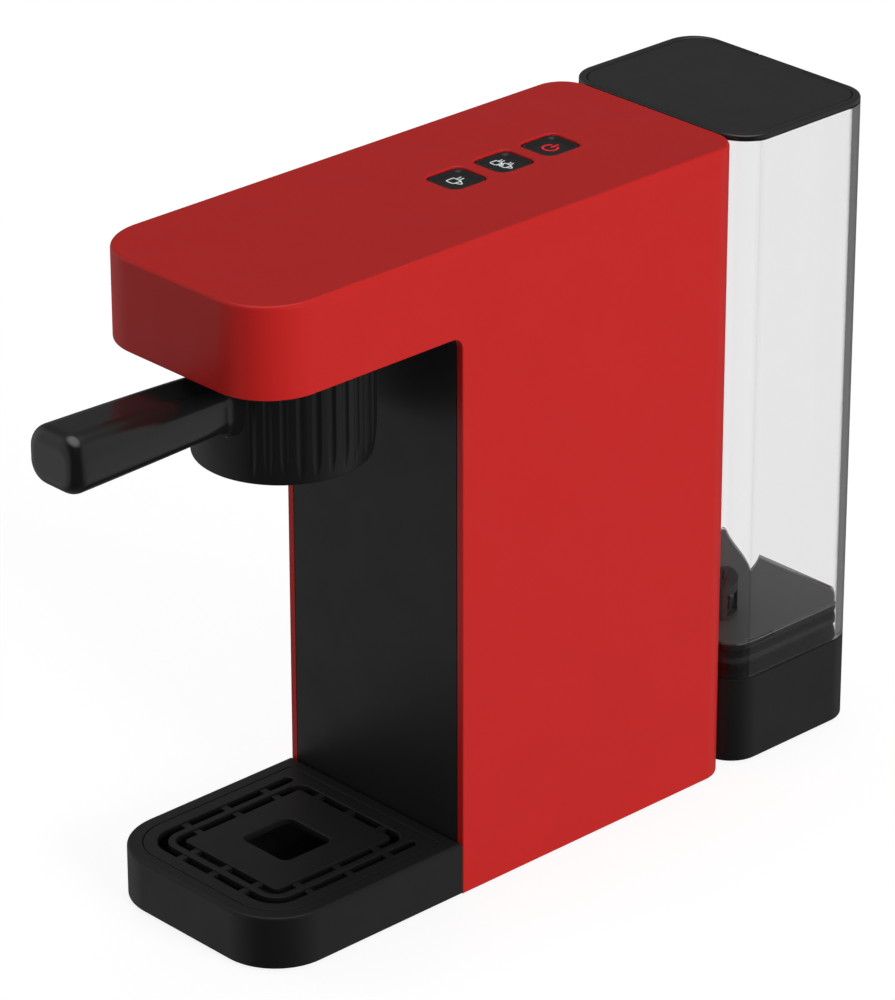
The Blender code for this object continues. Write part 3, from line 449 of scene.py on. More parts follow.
def casing_distance(x, y):
    """How far a point lies outside the casing's plan; it is zero on the outer wall."""
    if y < FRONT_RADIUS:
        past, radius = FRONT_RADIUS - y, FRONT_RADIUS
    elif y > REAR - REAR_RADIUS:
        past, radius = y - (REAR - REAR_RADIUS), REAR_RADIUS
    else:
        return abs(x) - HALF
    aside = abs(x) - (HALF - radius)
    if aside > 0 and past > 0:
        return math.hypot(aside, past) - radius
    return max(aside, past) - radius


def on_lower_wall(point):
    return abs(casing_distance(point.x, point.y)) < 0.05 and point.z < HEAD_UNDER + 0.1


BUTTONS = ("one_cup", "two_cups", "power")
ROOF = HEIGHT - WALL


def make_casing():
    body = loft(casing_plan, eased(0, HEIGHT, 0, 1.6, 6))
    below_head = filleted(
        [
            (-FAR, -FAR, 0),
            (COLUMN_FRONT, -FAR, 0),
            (COLUMN_FRONT, HEAD_UNDER, ARCH_RADIUS),
            (-FAR, HEAD_UNDER, 0),
        ],
        16,
    )
    cutters = [prism(below_head, -FAR, FAR, "X"), loft(casing_plan, [(WALL, -1), (WALL, ROOF)])]
    window_low, window_high = drawn("rear_cover")
    window = (window_high.x + GAP, REAR + 1, window_high.z + GAP)
    cutters.append(block((window_low.x - GAP, REAR - 2 * WALL, -1), window))
    for key in BUTTONS:
        low, high = key_box(key)
        opening = flared(ROOF - 2, HEIGHT, 0.9)
        cutters.append(loft(lambda inset, a=low, b=high: key_plan(a, b, inset - GAP), opening))
    body = combined(body, cutters)
    ease_edges(body, 0.55, on_lower_wall)
    piece("casing", body, LOOKS["red_satin"], "housing", ["outer_shell"])


def make_column_panel():
    profile = filleted(
        [
            (COLUMN_FRONT, panel_low.z, 0),
            (COLUMN_FRONT, HEAD_UNDER, ARCH_RADIUS),
            (COLUMN_FRONT - ARCH_RADIUS, HEAD_UNDER, 0),
            (COLUMN_FRONT - ARCH_RADIUS, panel_high.z, 0),
            (panel_high.y, panel_high.z, 0),
            (panel_high.y, panel_low.z, 0),
        ],
        16,
    )
    panel = ease_edges(prism(profile, panel_low.x, panel_high.x, "X"), 0.35)
    piece("column_panel", panel, LOOKS["panel_black"], "housing", ["front_panel"])


def make_head_lining():
    inset = HALF - cover_high.x
    hole_radius = 34.5

    def plan(more):
        edge = inset + more
        return rounded(HALF - edge, edge, cover_high.y - more, FRONT_RADIUS - edge, 0.3)

    lining = loft(plan, eased(cover_low.z, cover_high.z, 0.4, 0))
    hole = prism(circle(0, GROUP_Y, hole_radius), cover_low.z - 5, cover_high.z + 5)

    def on_hole(point):
        return abs(math.hypot(point.x, point.y - GROUP_Y) - hole_radius) < 0.1

    lining = ease_edges(combined(lining, [hole]), 0.4, on_hole)
    piece("head_lining", lining, LOOKS["panel_black"], "housing", ["head_cover"])


# Buttons

FLANGE = 1.5
PRINT_HEIGHT = 0.09


def key_box(key):
    """The visible cap's lowest and highest corner: the node's box without the flange under the roof."""
    low, high = drawn(f"button_{key}")
    cap_low = Vector((low.x + FLANGE, low.y + FLANGE, low.z))
    return cap_low, Vector((high.x - FLANGE, high.y - FLANGE, high.z))


def key_plan(low, high, inset):
    radius = 3.9 - inset
    return rounded(high.x - inset, low.y + inset, high.y - inset, radius, radius, 8)


def make_button(key, icon):
    low, high = key_box(key)
    top = high.z
    rim, slope, dish = 0.55, 1.9, 0.75
    stations = [(0.0, low.z + 5)]
    for step in range(6):
        lean = math.radians(90) * step / 5
        stations.append((rim * (1 - math.cos(lean)), top - rim + rim * math.sin(lean)))
    stations.append((rim + 0.35, top - 0.03))
    for step in range(1, 7):
        part = step / 6
        fall = 0.5 - 0.5 * math.cos(math.pi * part)
        stations.append((rim + 0.35 + slope * part, top - 0.03 - dish * fall))
    cap = loft(lambda inset: key_plan(low, high, inset), stations)
    flange = loft(lambda inset: key_plan(low, high, inset - FLANGE), [(0, ROOF - 2.3), (0, ROOF - GAP)])
    leg = prism(circle(0, (low.y + high.y) / 2, 2.5, 32), low.z, low.z + 6)
    cap = combined(cap, [flange, leg], "UNION")
    piece(f"button_cap_{key}", cap, LOOKS["button_black"], f"key_{key}", [f"button_{key}"])
    centre = Vector((0, (low.y + high.y) / 2, top - 0.05 - dish))
    icon(f"symbol_{key}", centre, f"key_{key}")


def stroke(bm, points, width, base, closed=False):
    """A raised printed line of even width through points, with round ends."""
    path = [Vector(point) for point in points]
    half = width / 2
    count = len(path)
    sides = [[], []]
    for index, place in enumerate(path):
        before = path[index - 1] if index or closed else None
        after = path[(index + 1) % count] if index + 1 < count or closed else None
        back = (place - before).normalized() if before is not None else None
        ahead = (after - place).normalized() if after is not None else None
        along = ((back or ahead) + (ahead or back)).normalized()
        across = Vector((-along.y, along.x))
        widen = half / max(abs(across.dot(Vector((-(back or ahead).y, (back or ahead).x)))), 0.5)
        sides[0].append(place + across * widen)
        sides[1].append(place - across * widen)
    if closed:
        rings = []
        for loop in sides:
            rings.append([bm.verts.new((point.x, point.y, base)) for point in loop])
            rings.append([bm.verts.new((point.x, point.y, base + PRINT_HEIGHT)) for point in loop])
        left_low, left_high, right_low, right_high = rings
        for index in range(count):
            after = (index + 1) % count
            bm.faces.new((left_high[index], left_high[after], right_high[after], right_high[index]))
            bm.faces.new((left_low[index], left_low[after], right_low[after], right_low[index]))
            bm.faces.new((left_low[index], left_low[after], left_high[after], left_high[index]))
            bm.faces.new((right_low[index], right_low[after], right_high[after], right_high[index]))
        return
    caps = []
    for end, turn_from in ((path[-1], path[-1] - path[-2]), (path[0], path[0] - path[1])):
        along = turn_from.normalized()
        across = Vector((-along.y, along.x))
        cap = []
        for step in range(1, 6):
            turn = math.pi * step / 6
            cap.append(end + (across * math.cos(turn) + along * math.sin(turn)) * half)
        caps.append(cap)
    outline = sides[0] + caps[0] + sides[1][::-1] + caps[1]
    low = [bm.verts.new((point.x, point.y, base)) for point in outline]
    high = [bm.verts.new((point.x, point.y, base + PRINT_HEIGHT)) for point in outline]
    bm.faces.new(low)
    bm.faces.new(high)
    for index in range(len(outline)):
        after = (index + 1) % len(outline)
        bm.faces.new((low[index], low[after], high[after], high[index]))


def cup_strokes(bm, x, y, base, size=1.0):
    """A cup seen from the side, with its handle on the right and two wisps of steam."""
    width, height, line = 4.3 * size, 4.2 * size, 0.52

    def at(u, v):
        return (x + u * size, y + v * size)

    half = width / 2 / size
    rise = height / 2 / size
    body = filleted([(-half, rise, 0.1), (-half, -rise, 1.0), (half, -rise, 1.0), (half, rise, 0.1)], 5)
    stroke(bm, [at(u, v) for u, v in body], line, base, closed=True)
    loop = [at(half + 2.3 * math.sin(math.pi * step / 8) ** 0.8, 1.45 - 2.6 * step / 8) for step in range(9)]
    stroke(bm, loop, line, base)
    for shift in (-0.9, 0.7):
        wisp = [at(shift + 0.18 * math.sin(math.pi * step / 3), 2.85 + 0.62 * step) for step in range(4)]
        stroke(bm, wisp, line * 0.9, base)


def draw_one_cup(name, centre, body):
    bm = bmesh.new()
    cup_strokes(bm, -0.9, -0.7, centre.z)
    place_symbol(name, bm, centre, body, LOOKS["icon_white"])


def draw_two_cups(name, centre, body):
    bm = bmesh.new()
    cup_strokes(bm, -3.1, -1.2, centre.z, 0.82)
    cup_strokes(bm, 1.3, -0.6, centre.z + 0.004, 0.82)
    place_symbol(name, bm, centre, body, LOOKS["icon_white"])


def draw_power(name, centre, body):
    bm = bmesh.new()
    gap, radius = math.radians(38), 3.0
    first = math.radians(90) + gap
    sweep = 2 * math.pi - 2 * gap
    ring = [(radius * math.cos(first + sweep * step / 32), radius * math.sin(first + sweep * step / 32))
            for step in range(33)]
    stroke(bm, ring, 0.85, centre.z)
    stroke(bm, [(0, 0.7), (0, 2.4), (0, 4.1)], 0.85, centre.z)
    place_symbol(name, bm, centre, body, LOOKS["icon_red"])


def place_symbol(name, bm, centre, body, look):
    for vertex in bm.verts:
        vertex.co += Vector((centre.x, centre.y, 0))
    piece(name, bm, look, body)


# Portafilter

FLUTES = 31
FLUTE_PITCH = math.radians(10)
FLUTE_RADIUS = 2.05
FLUTE_CENTRE = CUP_RADIUS - 0.8 + FLUTE_RADIUS
FOOT_RADIUS = 34.6
BARREL_TOP = 205.0
CUP_TOP = 236.4
REAR_TURN = math.radians(90)


def fluted(radius, height, turn):
    """The skirt's radius where the nearest upright flute bites into it; its edges are softened."""
    if radius < FOOT_RADIUS - 1.2:
        return radius
    away = (turn - REAR_TURN + math.pi) % (2 * math.pi) - math.pi
    most = (FLUTES - 1) // 2
    lean = away - min(max(round(away / FLUTE_PITCH), -most), most) * FLUTE_PITCH
    reach = FLUTE_RADIUS**2 - (FLUTE_CENTRE * math.sin(lean)) ** 2
    if reach <= 0:
        return radius
    bite = FLUTE_CENTRE * math.cos(lean) - math.sqrt(reach)
    softness = 0.14
    apart = (radius - bite) / (2 * softness)
    if abs(apart) >= 1:
        return min(radius, bite)
    return min(radius, bite) - softness * (1 - abs(apart)) ** 2 / 2


def make_cup():
    edge = 1.0
    low = cup_low.z
    profile = [(6, low), (14, low), (24, low)]
    for step in range(7):
        lean = math.radians(-90 + 90 * step / 6)
        profile.append((FOOT_RADIUS - edge + edge * math.cos(lean), low + edge + edge * math.sin(lean)))
    for step in range(1, 17):
        drop = 1 - step / 16
        swell = CUP_RADIUS - (CUP_RADIUS - FOOT_RADIUS) * drop**2
        profile.append((swell, BARREL_TOP - drop * (BARREL_TOP - low - edge)))
    profile += [(CUP_RADIUS, 215), (CUP_RADIUS, 225), (CUP_RADIUS, CUP_TOP - 0.4)]
    profile += [(CUP_RADIUS - 0.12, CUP_TOP - 0.12), (CUP_RADIUS - 0.4, CUP_TOP)]
    profile += [(33, CUP_TOP), (33, 197), (29.5, 197)]
    profile += [(29.5, cup_high.z - 0.3), (29.2, cup_high.z), (26.5, cup_high.z), (26.2, cup_high.z - 0.3)]
    profile += [(26.2, 192.2), (6, 192.2)]
    cup = turned(profile, (0, GROUP_Y), 1080, fluted)
    piece("fluted_cup", cup, LOOKS["cup_black"], "portafilter", ["portafilter_cup"], 50)
    bm = bmesh.new()
    for lug in (30, 150, 270):
        turns = [math.radians(lug - 12 + 2 * step) for step in range(13)]
        far = [(33.6 * math.cos(turn), GROUP_Y + 33.6 * math.sin(turn)) for turn in turns]
        near = [(29.3 * math.cos(turn), GROUP_Y + 29.3 * math.sin(turn)) for turn in reversed(turns)]
        tooth = holder(prism(far + near, 242.2, 245.8))
        bm.from_mesh(tooth.data)
        bpy.data.objects.remove(tooth)
    ease_edges(bm, 0.4)
    piece("bayonet_lugs", bm, LOOKS["cup_black"], "portafilter", ())


HANDLE_MIDDLE = (handle_low.z + handle_high.z) / 2
HANDLE_OUTER = (14.5, 11.9, 9.4)
HANDLE_ROOT = (12.2, 8.9, 6.0)
HANDLE_END_RADIUS = 6.0
ROOT_FILLET = 3.6


def handle_section(half_width, half_height, radius):
    corners = [(half_width, half_height), (-half_width, half_height), (-half_width, -half_height),
               (half_width, -half_height)]
    return filleted([(x, z, radius) for x, z in corners], 12)


def make_handle():
    end = handle_low.y
    bend = end + HANDLE_END_RADIUS
    meet = GROUP_Y - CUP_RADIUS
    rings = []
    steps = 10
    for step in range(steps + 1):
        lean = math.radians(90) * step / steps
        inset = HANDLE_END_RADIUS * (1 - math.sin(lean))
        section = handle_section(*[max(size - inset, 0.7) for size in HANDLE_OUTER])
        y = end + HANDLE_END_RADIUS * (1 - math.cos(lean))
        rings.append([(x, y, z) for x, z in section])
    steps = 40
    for step in range(1, steps + 1):
        part = step / steps
        size = [a + (b - a) * part for a, b in zip(HANDLE_OUTER, HANDLE_ROOT)]
        ring = []
        for x, z in handle_section(*size):
            saddle = GROUP_Y - math.sqrt(CUP_RADIUS ** 2 - x ** 2)
            away = (saddle - bend) * (1 - part) ** 1.6
            near = max(ROOT_FILLET - away, 0.0)
            grow = ROOT_FILLET - math.sqrt(ROOT_FILLET ** 2 - near ** 2)
            scale = 1 + grow / math.hypot(x, z)
            x, z = x * scale, z * scale
            saddle = GROUP_Y - math.sqrt(CUP_RADIUS ** 2 - x ** 2)
            ring.append((x, saddle - away, z))
        rings.append(ring)
    rings.append([(x * 0.98, y + 1.2, z * 0.98) for x, y, z in rings[-1]])
    bm = bmesh.new()
    skins = [[bm.verts.new((x, y, z + HANDLE_MIDDLE)) for x, y, z in ring] for ring in rings]
    bm.faces.new(skins[0])
    bm.faces.new(skins[-1])
    for ring, other in zip(skins, skins[1:]):
        for index in range(len(ring)):
            after = (index + 1) % len(ring)
            bm.faces.new((ring[index], ring[after], other[after], other[index]))
    piece("handle_grip", bm, LOOKS["handle_black"], "portafilter", ["portafilter_handle"], 50)


# Drip tray

CHANNEL_WIDTH = 3.9
CHANNEL_REAR = 86.6  # where both of the grate's channels end
OUTER_CHANNEL = (37.85, 11.3, 12.0)  # outer half width, front and corner radius
INNER_CHANNEL = (30.9, 18.2, 6.0)
RIB_WIDTH = 3.3
RIB_DROP = 0.6
RIB_MIDDLE = 52.0
RIB_SPACING = (18.05, 20.45)  # across and along


def grate_plan(inset):
    radius = FRONT_RADIUS - (HALF - grate_high.x) - inset
    return rounded(grate_high.x - inset, grate_low.y + inset, grate_high.y - inset, radius, 1.0)


def make_tray():
    ledge = grate_low.z - GAP
    tray = loft(tray_plan, eased(tray_low.z, tray_high.z, 0.8, 1.5, 6))
    skirt = prism(tray_plan(2.5), -1, ledge - 2.2)
    skirt = combined(skirt, [prism(tray_plan(6.4), 3.1, FAR)])
    basin = loft(grate_plan, [(1.9, 5.3), (1.9, FAR)])
    seat = loft(lambda inset: grate_plan(inset - GAP), flared(ledge, tray_high.z, 0.35, 3))
    tongue = block((-32.5, 90, -1), (32.5, 110, 3.1))
    tray = combined(tray, [skirt, basin, seat, tongue])
    piece("tray_tub", tray, LOOKS["tray_black"], "tray", ["drip_tray"])


def outer_channel(inset):
    """The outer channel's outline: a U with round ends, open at the rear."""
    side, front, radius = OUTER_CHANNEL
    round_end = CHANNEL_WIDTH / 2 - 0.05 - inset
    near, far = side - inset, side - CHANNEL_WIDTH + inset
    low, high = front + inset, front + CHANNEL_WIDTH - inset
    rear = CHANNEL_REAR - inset
    return filleted([
        (-near, rear, round_end),
        (-near, low, radius - inset),
        (near, low, radius - inset),
        (near, rear, round_end),
        (far, rear, round_end),
        (far, high, radius - 3.2 + inset),
        (-far, high, radius - 3.2 + inset),
        (-far, rear, round_end),
    ])


def inner_channel(inset):
    side, front, radius = INNER_CHANNEL
    return rounded(side - inset, front + inset, CHANNEL_REAR - inset, radius - inset, radius - inset)


def centre_plate(inset):
    """The plate inside the inner channel; as the channel widens towards its lip, the plate shrinks."""
    side, front, _ = INNER_CHANNEL
    edge = CHANNEL_WIDTH - inset
    return rounded(side - edge, front + edge, CHANNEL_REAR - edge, 2.0 + inset, 2.0 + inset)


def grate_ribs(low, high):
    """Short sunken ribs across both channels, three on each side."""
    half, root = RIB_WIDTH / 2, 0.9
    x_low, x_high = INNER_CHANNEL[0] - CHANNEL_WIDTH - root, OUTER_CHANNEL[0] + root
    y_low, y_high = OUTER_CHANNEL[1] - root, INNER_CHANNEL[1] + CHANNEL_WIDTH + root
    rear_low, rear_high = CHANNEL_REAR - CHANNEL_WIDTH - root, CHANNEL_REAR + root
    spans = []
    for step in (-1, 0, 1):
        x, y = step * RIB_SPACING[0], RIB_MIDDLE + step * RIB_SPACING[1]
        spans += [(x_low, x_high, y - half, y + half), (-x_high, -x_low, y - half, y + half)]
        spans += [(x - half, x + half, y_low, y_high), (x - half, x + half, rear_low, rear_high)]
    ribs = []
    for x0, x1, y0, y1 in spans:
        def plan(inset, x0=x0, x1=x1, y0=y0, y1=y1):
            return [(x0 + inset, y0 + inset), (x1 - inset, y0 + inset), (x1 - inset, y1 - inset),
                    (x0 + inset, y1 - inset)]

        ribs.append(loft(plan, eased(low, high, 0, 0.25, 3)))
    return ribs


def make_grate():
    low, top = grate_low.z, grate_high.z
    lip = 0.45

    def drain(inset):
        return rounded(12.9 - inset, 39.4 + inset, 64.4 - inset, 3.2 - inset, 3.2 - inset, 8)

    inner = loft(inner_channel, flared(low - 2, top, lip))
    inner = combined(inner, [loft(centre_plate, flared(low - 3, top, lip, above=4.0))])
    cutters = [loft(outer_channel, flared(low - 2, top, lip)), inner, loft(drain, flared(low - 2, top, 0.6))]
    grate = combined(loft(grate_plan, eased(low, top, 0, 0.35, 3)), cutters)
    grate = combined(grate, grate_ribs(low + 0.2, top - RIB_DROP), "UNION")
    piece("grate_plate", grate, LOOKS["tray_black"], "grate", ["drip_grate"])


# Tank and dock


def make_dock():
    top = tank_low.z - GAP
    socket_low, socket_high = drawn("dock_socket")
    valve = ((socket_low.x + socket_high.x) / 2, (socket_low.y + socket_high.y) / 2)
    gland_low, gland_high = drawn("cord_gland")
    gland = ((gland_low.x + gland_high.x) / 2, (gland_low.z + gland_high.z) / 2)
    gland_radius = 6.5
    body = loft(tank_plan, eased(dock_low.z, top, 0.8, 0.7, 5))
    cutters = [
        prism(tank_plan(2.8), -1, top - 2.8),
        block((-32, TANK_FRONT - 1, -1), (32, TANK_FRONT + 4, 30)),
        prism(circle(*valve, 9), 30, 45),
        prism(circle(*gland, gland_radius, 48), TANK_REAR - 6, TANK_REAR + 1, "Y"),
    ]
    body = combined(body, cutters)

    def on_gland_hole(point):
        off = math.hypot(point.x - gland[0], point.z - gland[1]) - gland_radius
        return abs(off) < 0.1 and point.y > TANK_REAR - 0.1

    ease_edges(body, 0.35, on_gland_hole)
    piece("dock_body", body, LOOKS["dock_black"], "housing", ["dock_base"])


def make_tank():
    wall = 2.3
    shell = loft(tank_plan, eased(tank_low.z, tank_high.z, 0.3, 0.3, 3))

    def inside(inset):
        edge = wall + inset
        return rounded(HALF - edge, TANK_FRONT + edge, TANK_REAR - edge, 8.5 - inset, 12.4 - inset)

    shell = combined(shell, [loft(inside, [(0, 0), (0, FAR)])])
    clear = piece("tank_walls", shell, LOOKS["clear"], "tank", ["tank_shell"])
    clear.visible_shadow = False
    make_bead(inside, base_high.z)
    fit = wall + GAP

    def shelf(inset):
        return inside(GAP + inset)

    top = base_high.z - 0.3
    base = loft(shelf, eased(top - 2.4, top, 0.25, 0.3, 4))
    valve_low, valve_high = drawn("valve_cage")
    valve = ((valve_low.x + valve_high.x) / 2, (valve_low.y + valve_high.y) / 2)
    stem_radius = 3.4
    wall_below = prism(tank_plan(8), base_low.z, base_high.z - 2)
    boss = prism(circle(*valve, 7.5), 47.5, base_high.z - 1)
    base = combined(base, [wall_below], "UNION")
    base = combined(base, [prism(tank_plan(10.2), 0, base_high.z - 3)])
    base = combined(base, [boss], "UNION")
    notches = []
    for side in (-1, 1):
        low, high = sorted((side * (HALF - fit - 1.6), side * HALF))
        notches.append(((low, 262, base_high.z - 1.7), (high, 275, base_high.z + 1)))
    notch = [block(*ends) for ends in notches]
    base = combined(base, [prism(circle(*valve, stem_radius, 48), 40, 60), *notch])
    piece("tank_floor", base, LOOKS["floor_black"], "tank", ["tank_base"])
    # Painted light: a thin sheet over the floor's top in the lighter copy of its black, standing for the
    # light that falls on the upward face.
    plate = loft(lambda inset: shelf(0.35 + inset), eased(top, base_high.z, 0, 0.15, 3))
    stem_hole = prism(circle(*valve, stem_radius, 48), 40, 60)
    plate = combined(plate, [stem_hole, *[block(*ends) for ends in notches]])
    piece("tank_floor_plate", plate, LOOKS["floor_grey"], "tank", ["tank_base"])
    ring = loft(shelf, eased(gasket_low.z, gasket_high.z, 0.5, 0.5, 4))
    ring = combined(ring, [prism(tank_plan(7.7), 40, 50)])
    piece("tank_seal_ring", ring, LOOKS["rubber"], "tank", ["tank_gasket"])


def make_bead(inside, floor):
    """The clear fillet moulded between the tank's wall and its floor."""
    height, reach, steps = 1.0, 1.3, 6
    stations = [(reach, floor - 1)]
    for step in range(steps + 1):
        lean = math.radians(90) * step / steps
        stations.append((reach - (reach - 0.15) * (1 - math.cos(lean)), floor + height * math.sin(lean)))
    stations.append((0.15, floor + height + 1))
    outer = loft(inside, [(0.04, floor + 0.02), (0.04, floor + height)])
    bead = combined(outer, [loft(inside, stations)])
    made = piece("tank_floor_fillet", bead, LOOKS["clear"], "tank", ())
    made.visible_shadow = False


def make_rim():
    top = rim_high.z
    rim = loft(tank_plan, eased(rim_low.z, top, 0.25, 1.1, 6))
    opening = 3.7

    def mouth(inset):
        edge = opening + inset
        back, radius = 2.3 + inset, 11.5 - inset
        return rounded(HALF - edge, TANK_FRONT + back, TANK_REAR - back, radius, radius)

    def ledge(inset):
        return mouth(inset + 1.2)

    notch = block((-13.1, TANK_REAR - 6, rim_low.z + 0.5), (13.1, TANK_REAR + 1, FAR))
    recess = loft(mouth, flared(rim_low.z + 0.5, top, 0.7, 4))
    rim = combined(rim, [recess, loft(ledge, [(0, 0), (0, FAR)]), notch])
    piece("rim_frame", rim, LOOKS["rim_black"], "tank", ["tank_rim"])


def make_lid():
    plate_half = 46.0
    low, top = lid_high.z - 0.9, lid_high.z

    def plate(inset):
        back, radius = 2.6 + inset, 11.2 - inset
        return rounded(plate_half - inset, TANK_FRONT + back, TANK_REAR - back, radius, radius)

    def tab_plan(inset):
        return rounded(12.8 - inset, TANK_REAR - 8, TANK_REAR - inset, LEAST_RADIUS, 0.6)

    lid = loft(plate, eased(low, top, 0.1, 0.3, 4))
    tab = loft(tab_plan, eased(low, top, 0.1, 0.3, 4))
    boss = prism(rounded(44.7, TANK_FRONT + 3.9, TANK_REAR - 3.9, 9.9, 9.9), lid_low.z, low + 0.4)
    lid = combined(lid, [tab, boss], "UNION")
    piece("lid_plate", lid, LOOKS["lid_satin"], "lid", ["tank_lid"])


# CAD nodes that keep their shape

CARRIED = {
    "inner_black": ("rear_cover", "base_plate", "dock_socket", "pump_coil", "switch_one_cup",
                    "switch_two_cups", "switch_power"),
    "valve_grey": ("valve_cage", "valve_plunger"),
    "rubber": ("foot_front_left", "foot_front_right", "foot_rear_left", "foot_rear_right", "cord_gland",
               "pump_mount_lower", "pump_mount_upper", "valve_seal"),
    "cup_black": ("coffee_spout",),
    "steel": ("base_screw_1", "base_screw_2", "base_screw_3", "base_screw_4", "handle_bolt", "filter_basket",
              "shower_screen", "shower_screw", "pump_bracket", "thermal_cutout", "valve_spring"),
    "aluminium": ("group_ring", "group_head", "thermoblock"),
    "brass": ("pump_core",),
    "silicone": ("group_gasket", "dock_seal", "inlet_hose", "suction_hose"),
    "natural": ("pressure_tube", "brew_tube", "flow_meter", "board_bracket"),
    "board": ("control_board", "power_board"),
}
SOFT_EDGES = {
    "base_plate": 0.5, "rear_cover": 0.5, "coffee_spout": 0.6, "group_ring": 0.3, "thermoblock": 0.6,
    "pump_coil": 0.6, "pump_bracket": 0.3,
}


def dress_nodes():
    for look, names in CARRIED.items():
        for name in names:
            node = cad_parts[name]
            for index in range(len(node.data.materials)):
                node.data.materials[index] = LOOKS[look]
            if not node.data.materials:
                node.data.materials.append(LOOKS[look])
            if name in SOFT_EDGES:
                bevel = node.modifiers.new("edges", "BEVEL")
                bevel.width = SOFT_EDGES[name] * MM
                bevel.segments = 3
                bevel.limit_method = "ANGLE"
                bevel.angle_limit = math.radians(40)
                weigh(node)


# Studio


def soft_light(name, aim, distance, size, power):
    """A soft box lighting the machine from one direction; mirror-like glints come from the sky instead."""
    target = ORIGIN + Vector((0, 120, 120)) * MM
    data = bpy.data.lights.new(name, "AREA")
    data.shape = "RECTANGLE"
    data.size, data.size_y = size
    data.energy = power
    item = bpy.data.objects.new(name, data)
    item.location = target + Vector(aim).normalized() * distance
    item.rotation_euler = (target - item.location).to_track_quat("-Z", "Y").to_euler()
    item.visible_glossy = False
    item.visible_transmission = False
    bpy.context.scene.collection.objects.link(item)


class Tree:
    """Shorthand for building a shader out of linked maths nodes."""

    def __init__(self, tree):
        self.nodes, self.links = tree.nodes, tree.links

    def maths(self, operation, first, second=0.0, third=None):
        node = self.nodes.new("ShaderNodeMath")
        node.operation = operation
        for socket, value in zip(node.inputs, (first, second, third)):
            self.feed(socket, value)
        return node.outputs[0]

    def feed(self, socket, value):
        if value is None:
            return
        if isinstance(value, bpy.types.NodeSocket):
            self.links.new(value, socket)
        else:
            socket.default_value = value

    def ramp(self, value, start, end, high):
        node = self.nodes.new("ShaderNodeMapRange")
        node.interpolation_type = "SMOOTHSTEP"
        self.feed(node.inputs["Value"], value)
        node.inputs["From Min"].default_value = start
        node.inputs["From Max"].default_value = end
        node.inputs["To Max"].default_value = high
        return node.outputs[0]

    def towards(self, direction, aim):
        node = self.nodes.new("ShaderNodeVectorMath")
        node.operation = "DOT_PRODUCT"
        self.links.new(direction, node.inputs[0])
        node.inputs[1].default_value = Vector(aim).normalized()
        return node.outputs["Value"]


RIGHT = (0.725, 0.689, 0.0)
LEFT = (-0.725, -0.689, 0.0)
AWAY = (-0.689, 0.725, 0.0)


def make_sky(scene):
    """White past the machine; in reflections, two soft side lobes, a top box and a dim back."""
    world = bpy.data.worlds.new("studio")
    scene.world = world
    world.use_nodes = True
    tree = Tree(world.node_tree)
    sky = world.node_tree.nodes["Background"]
    place = tree.nodes.new("ShaderNodeTexCoord").outputs["Generated"]
    right = tree.ramp(tree.towards(place, RIGHT), 0.45, 0.85, 0.21)
    left = tree.ramp(tree.towards(place, LEFT), 0.45, 0.85, 0.25)
    top = tree.ramp(tree.towards(place, (0, 0, 1)), 0.78, 0.97, 1.3)
    away = tree.ramp(tree.towards(place, AWAY), -0.5, 0.6, 0.115)
    glints = tree.maths("ADD", tree.maths("ADD", right, left), tree.maths("ADD", top, away))
    path = tree.nodes.new("ShaderNodeLightPath")
    scattered = tree.maths("MINIMUM", path.outputs["Diffuse Depth"], 1.0)
    mirrored = tree.maths("MINIMUM", path.outputs["Glossy Depth"], 1.0)
    mirrored = tree.maths("MULTIPLY", mirrored, tree.maths("SUBTRACT", 1.0, scattered))
    direct = tree.maths("SUBTRACT", tree.maths("SUBTRACT", 1.0, scattered), mirrored)
    light = tree.maths("MULTIPLY_ADD", mirrored, glints, tree.maths("MULTIPLY", scattered, 0.088))
    tree.feed(sky.inputs["Strength"], tree.maths("ADD", light, direct))
    sky.inputs["Color"].default_value = (1, 1, 1, 1)


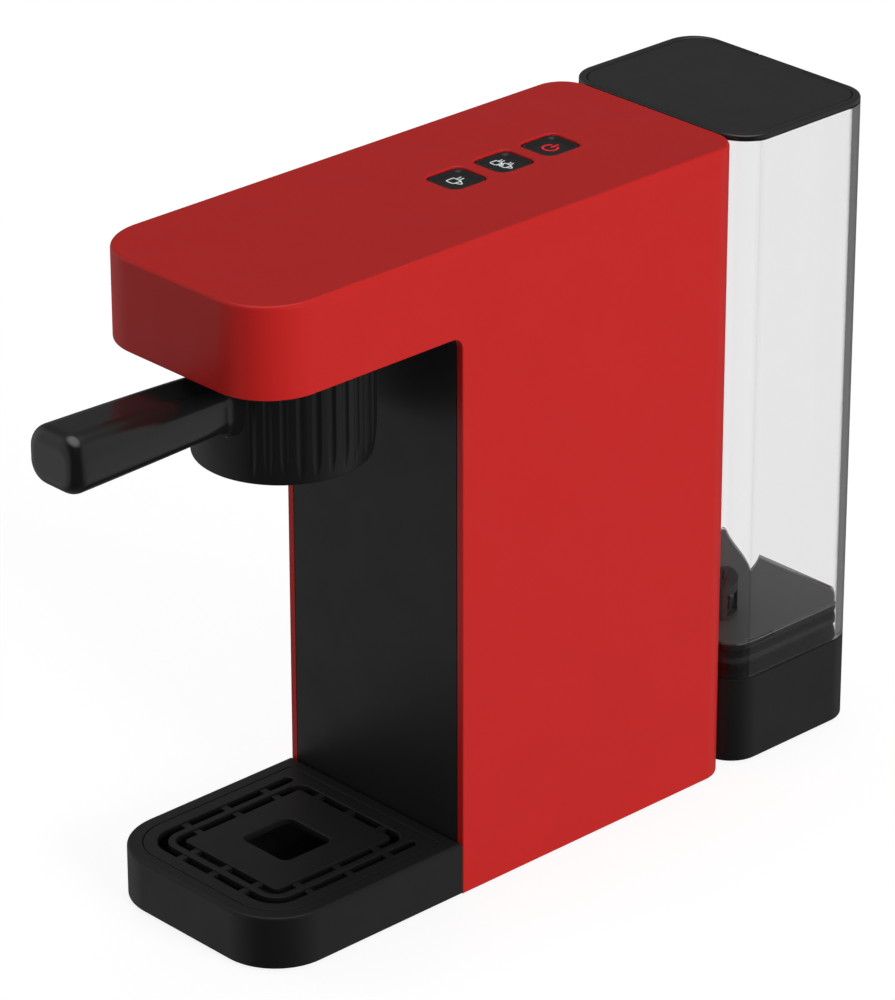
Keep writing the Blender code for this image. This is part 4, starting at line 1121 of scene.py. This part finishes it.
def make_floor(scene):
    mesh = bpy.data.meshes.new("studio_floor")
    reach = 6.0
    corners = [(-reach, -reach, 0), (reach, -reach, 0), (reach, reach, 0), (-reach, reach, 0)]
    mesh.from_pydata(corners, [], [(0, 1, 2, 3)])
    floor = bpy.data.objects.new("studio_floor", mesh)
    scene.collection.objects.link(floor)
    paper = bpy.data.materials.new("studio_paper")
    paper.use_nodes = True
    tree = Tree(paper.node_tree)
    shader = paper.node_tree.nodes["Principled BSDF"]
    shader.inputs["Base Color"].default_value = (0.3, 0.3, 0.3, 1)
    shader.inputs["Roughness"].default_value = 0.9
    shader.inputs["Specular IOR Level"].default_value = 0.0
    path = tree.nodes.new("ShaderNodeLightPath")
    bounces = tree.maths("ADD", path.outputs["Diffuse Depth"], path.outputs["Glossy Depth"])
    direct = tree.maths("LESS_THAN", bounces, 0.5)
    shader.inputs["Emission Color"].default_value = (1, 1, 1, 1)
    tree.feed(shader.inputs["Emission Strength"], tree.maths("MULTIPLY", direct, 0.86))
    mesh.materials.append(paper)
    floor.visible_glossy = False


def make_studio():
    scene = bpy.context.scene
    scene.view_settings.view_transform = "Standard"
    make_sky(scene)
    make_floor(scene)
    soft_light("key_light", (1.0, 0.0, 0.2), 3.0, (1.8, 1.8), 76)
    soft_light("left_light", (-0.906, -0.42, 0.25), 3.0, (1.6, 1.6), 17)
    soft_light("top_light", (-0.1, 0.1, 1.0), 2.8, (1.6, 1.6), 21)


def make_camera():
    target = ORIGIN + Vector((0, 150.0, 131.438)) * MM
    azimuth, elevation, distance = math.radians(46.4638), math.radians(25.5252), 2.09616
    back = Vector((
        math.sin(azimuth) * math.cos(elevation),
        -math.cos(azimuth) * math.cos(elevation),
        math.sin(elevation),
    ))
    data = bpy.data.cameras.new("camera")
    data.sensor_width = 36.0
    data.lens = 192.264
    data.shift_x = -0.02206
    data.shift_y = 0.0120
    data.clip_start, data.clip_end = 0.05, 50.0
    camera = bpy.data.objects.new("camera", data)
    camera.location = target + back * distance
    camera.rotation_euler = back.to_track_quat("Z", "Y").to_euler()
    bpy.context.scene.collection.objects.link(camera)
    bpy.context.scene.camera = camera


make_camera()
make_studio()
make_casing()
make_column_panel()
make_head_lining()
make_button("one_cup", draw_one_cup)
make_button("two_cups", draw_two_cups)
make_button("power", draw_power)
make_cup()
make_handle()
make_tray()
make_grate()
make_dock()
make_tank()
make_rim()
make_lid()
dress_nodes()
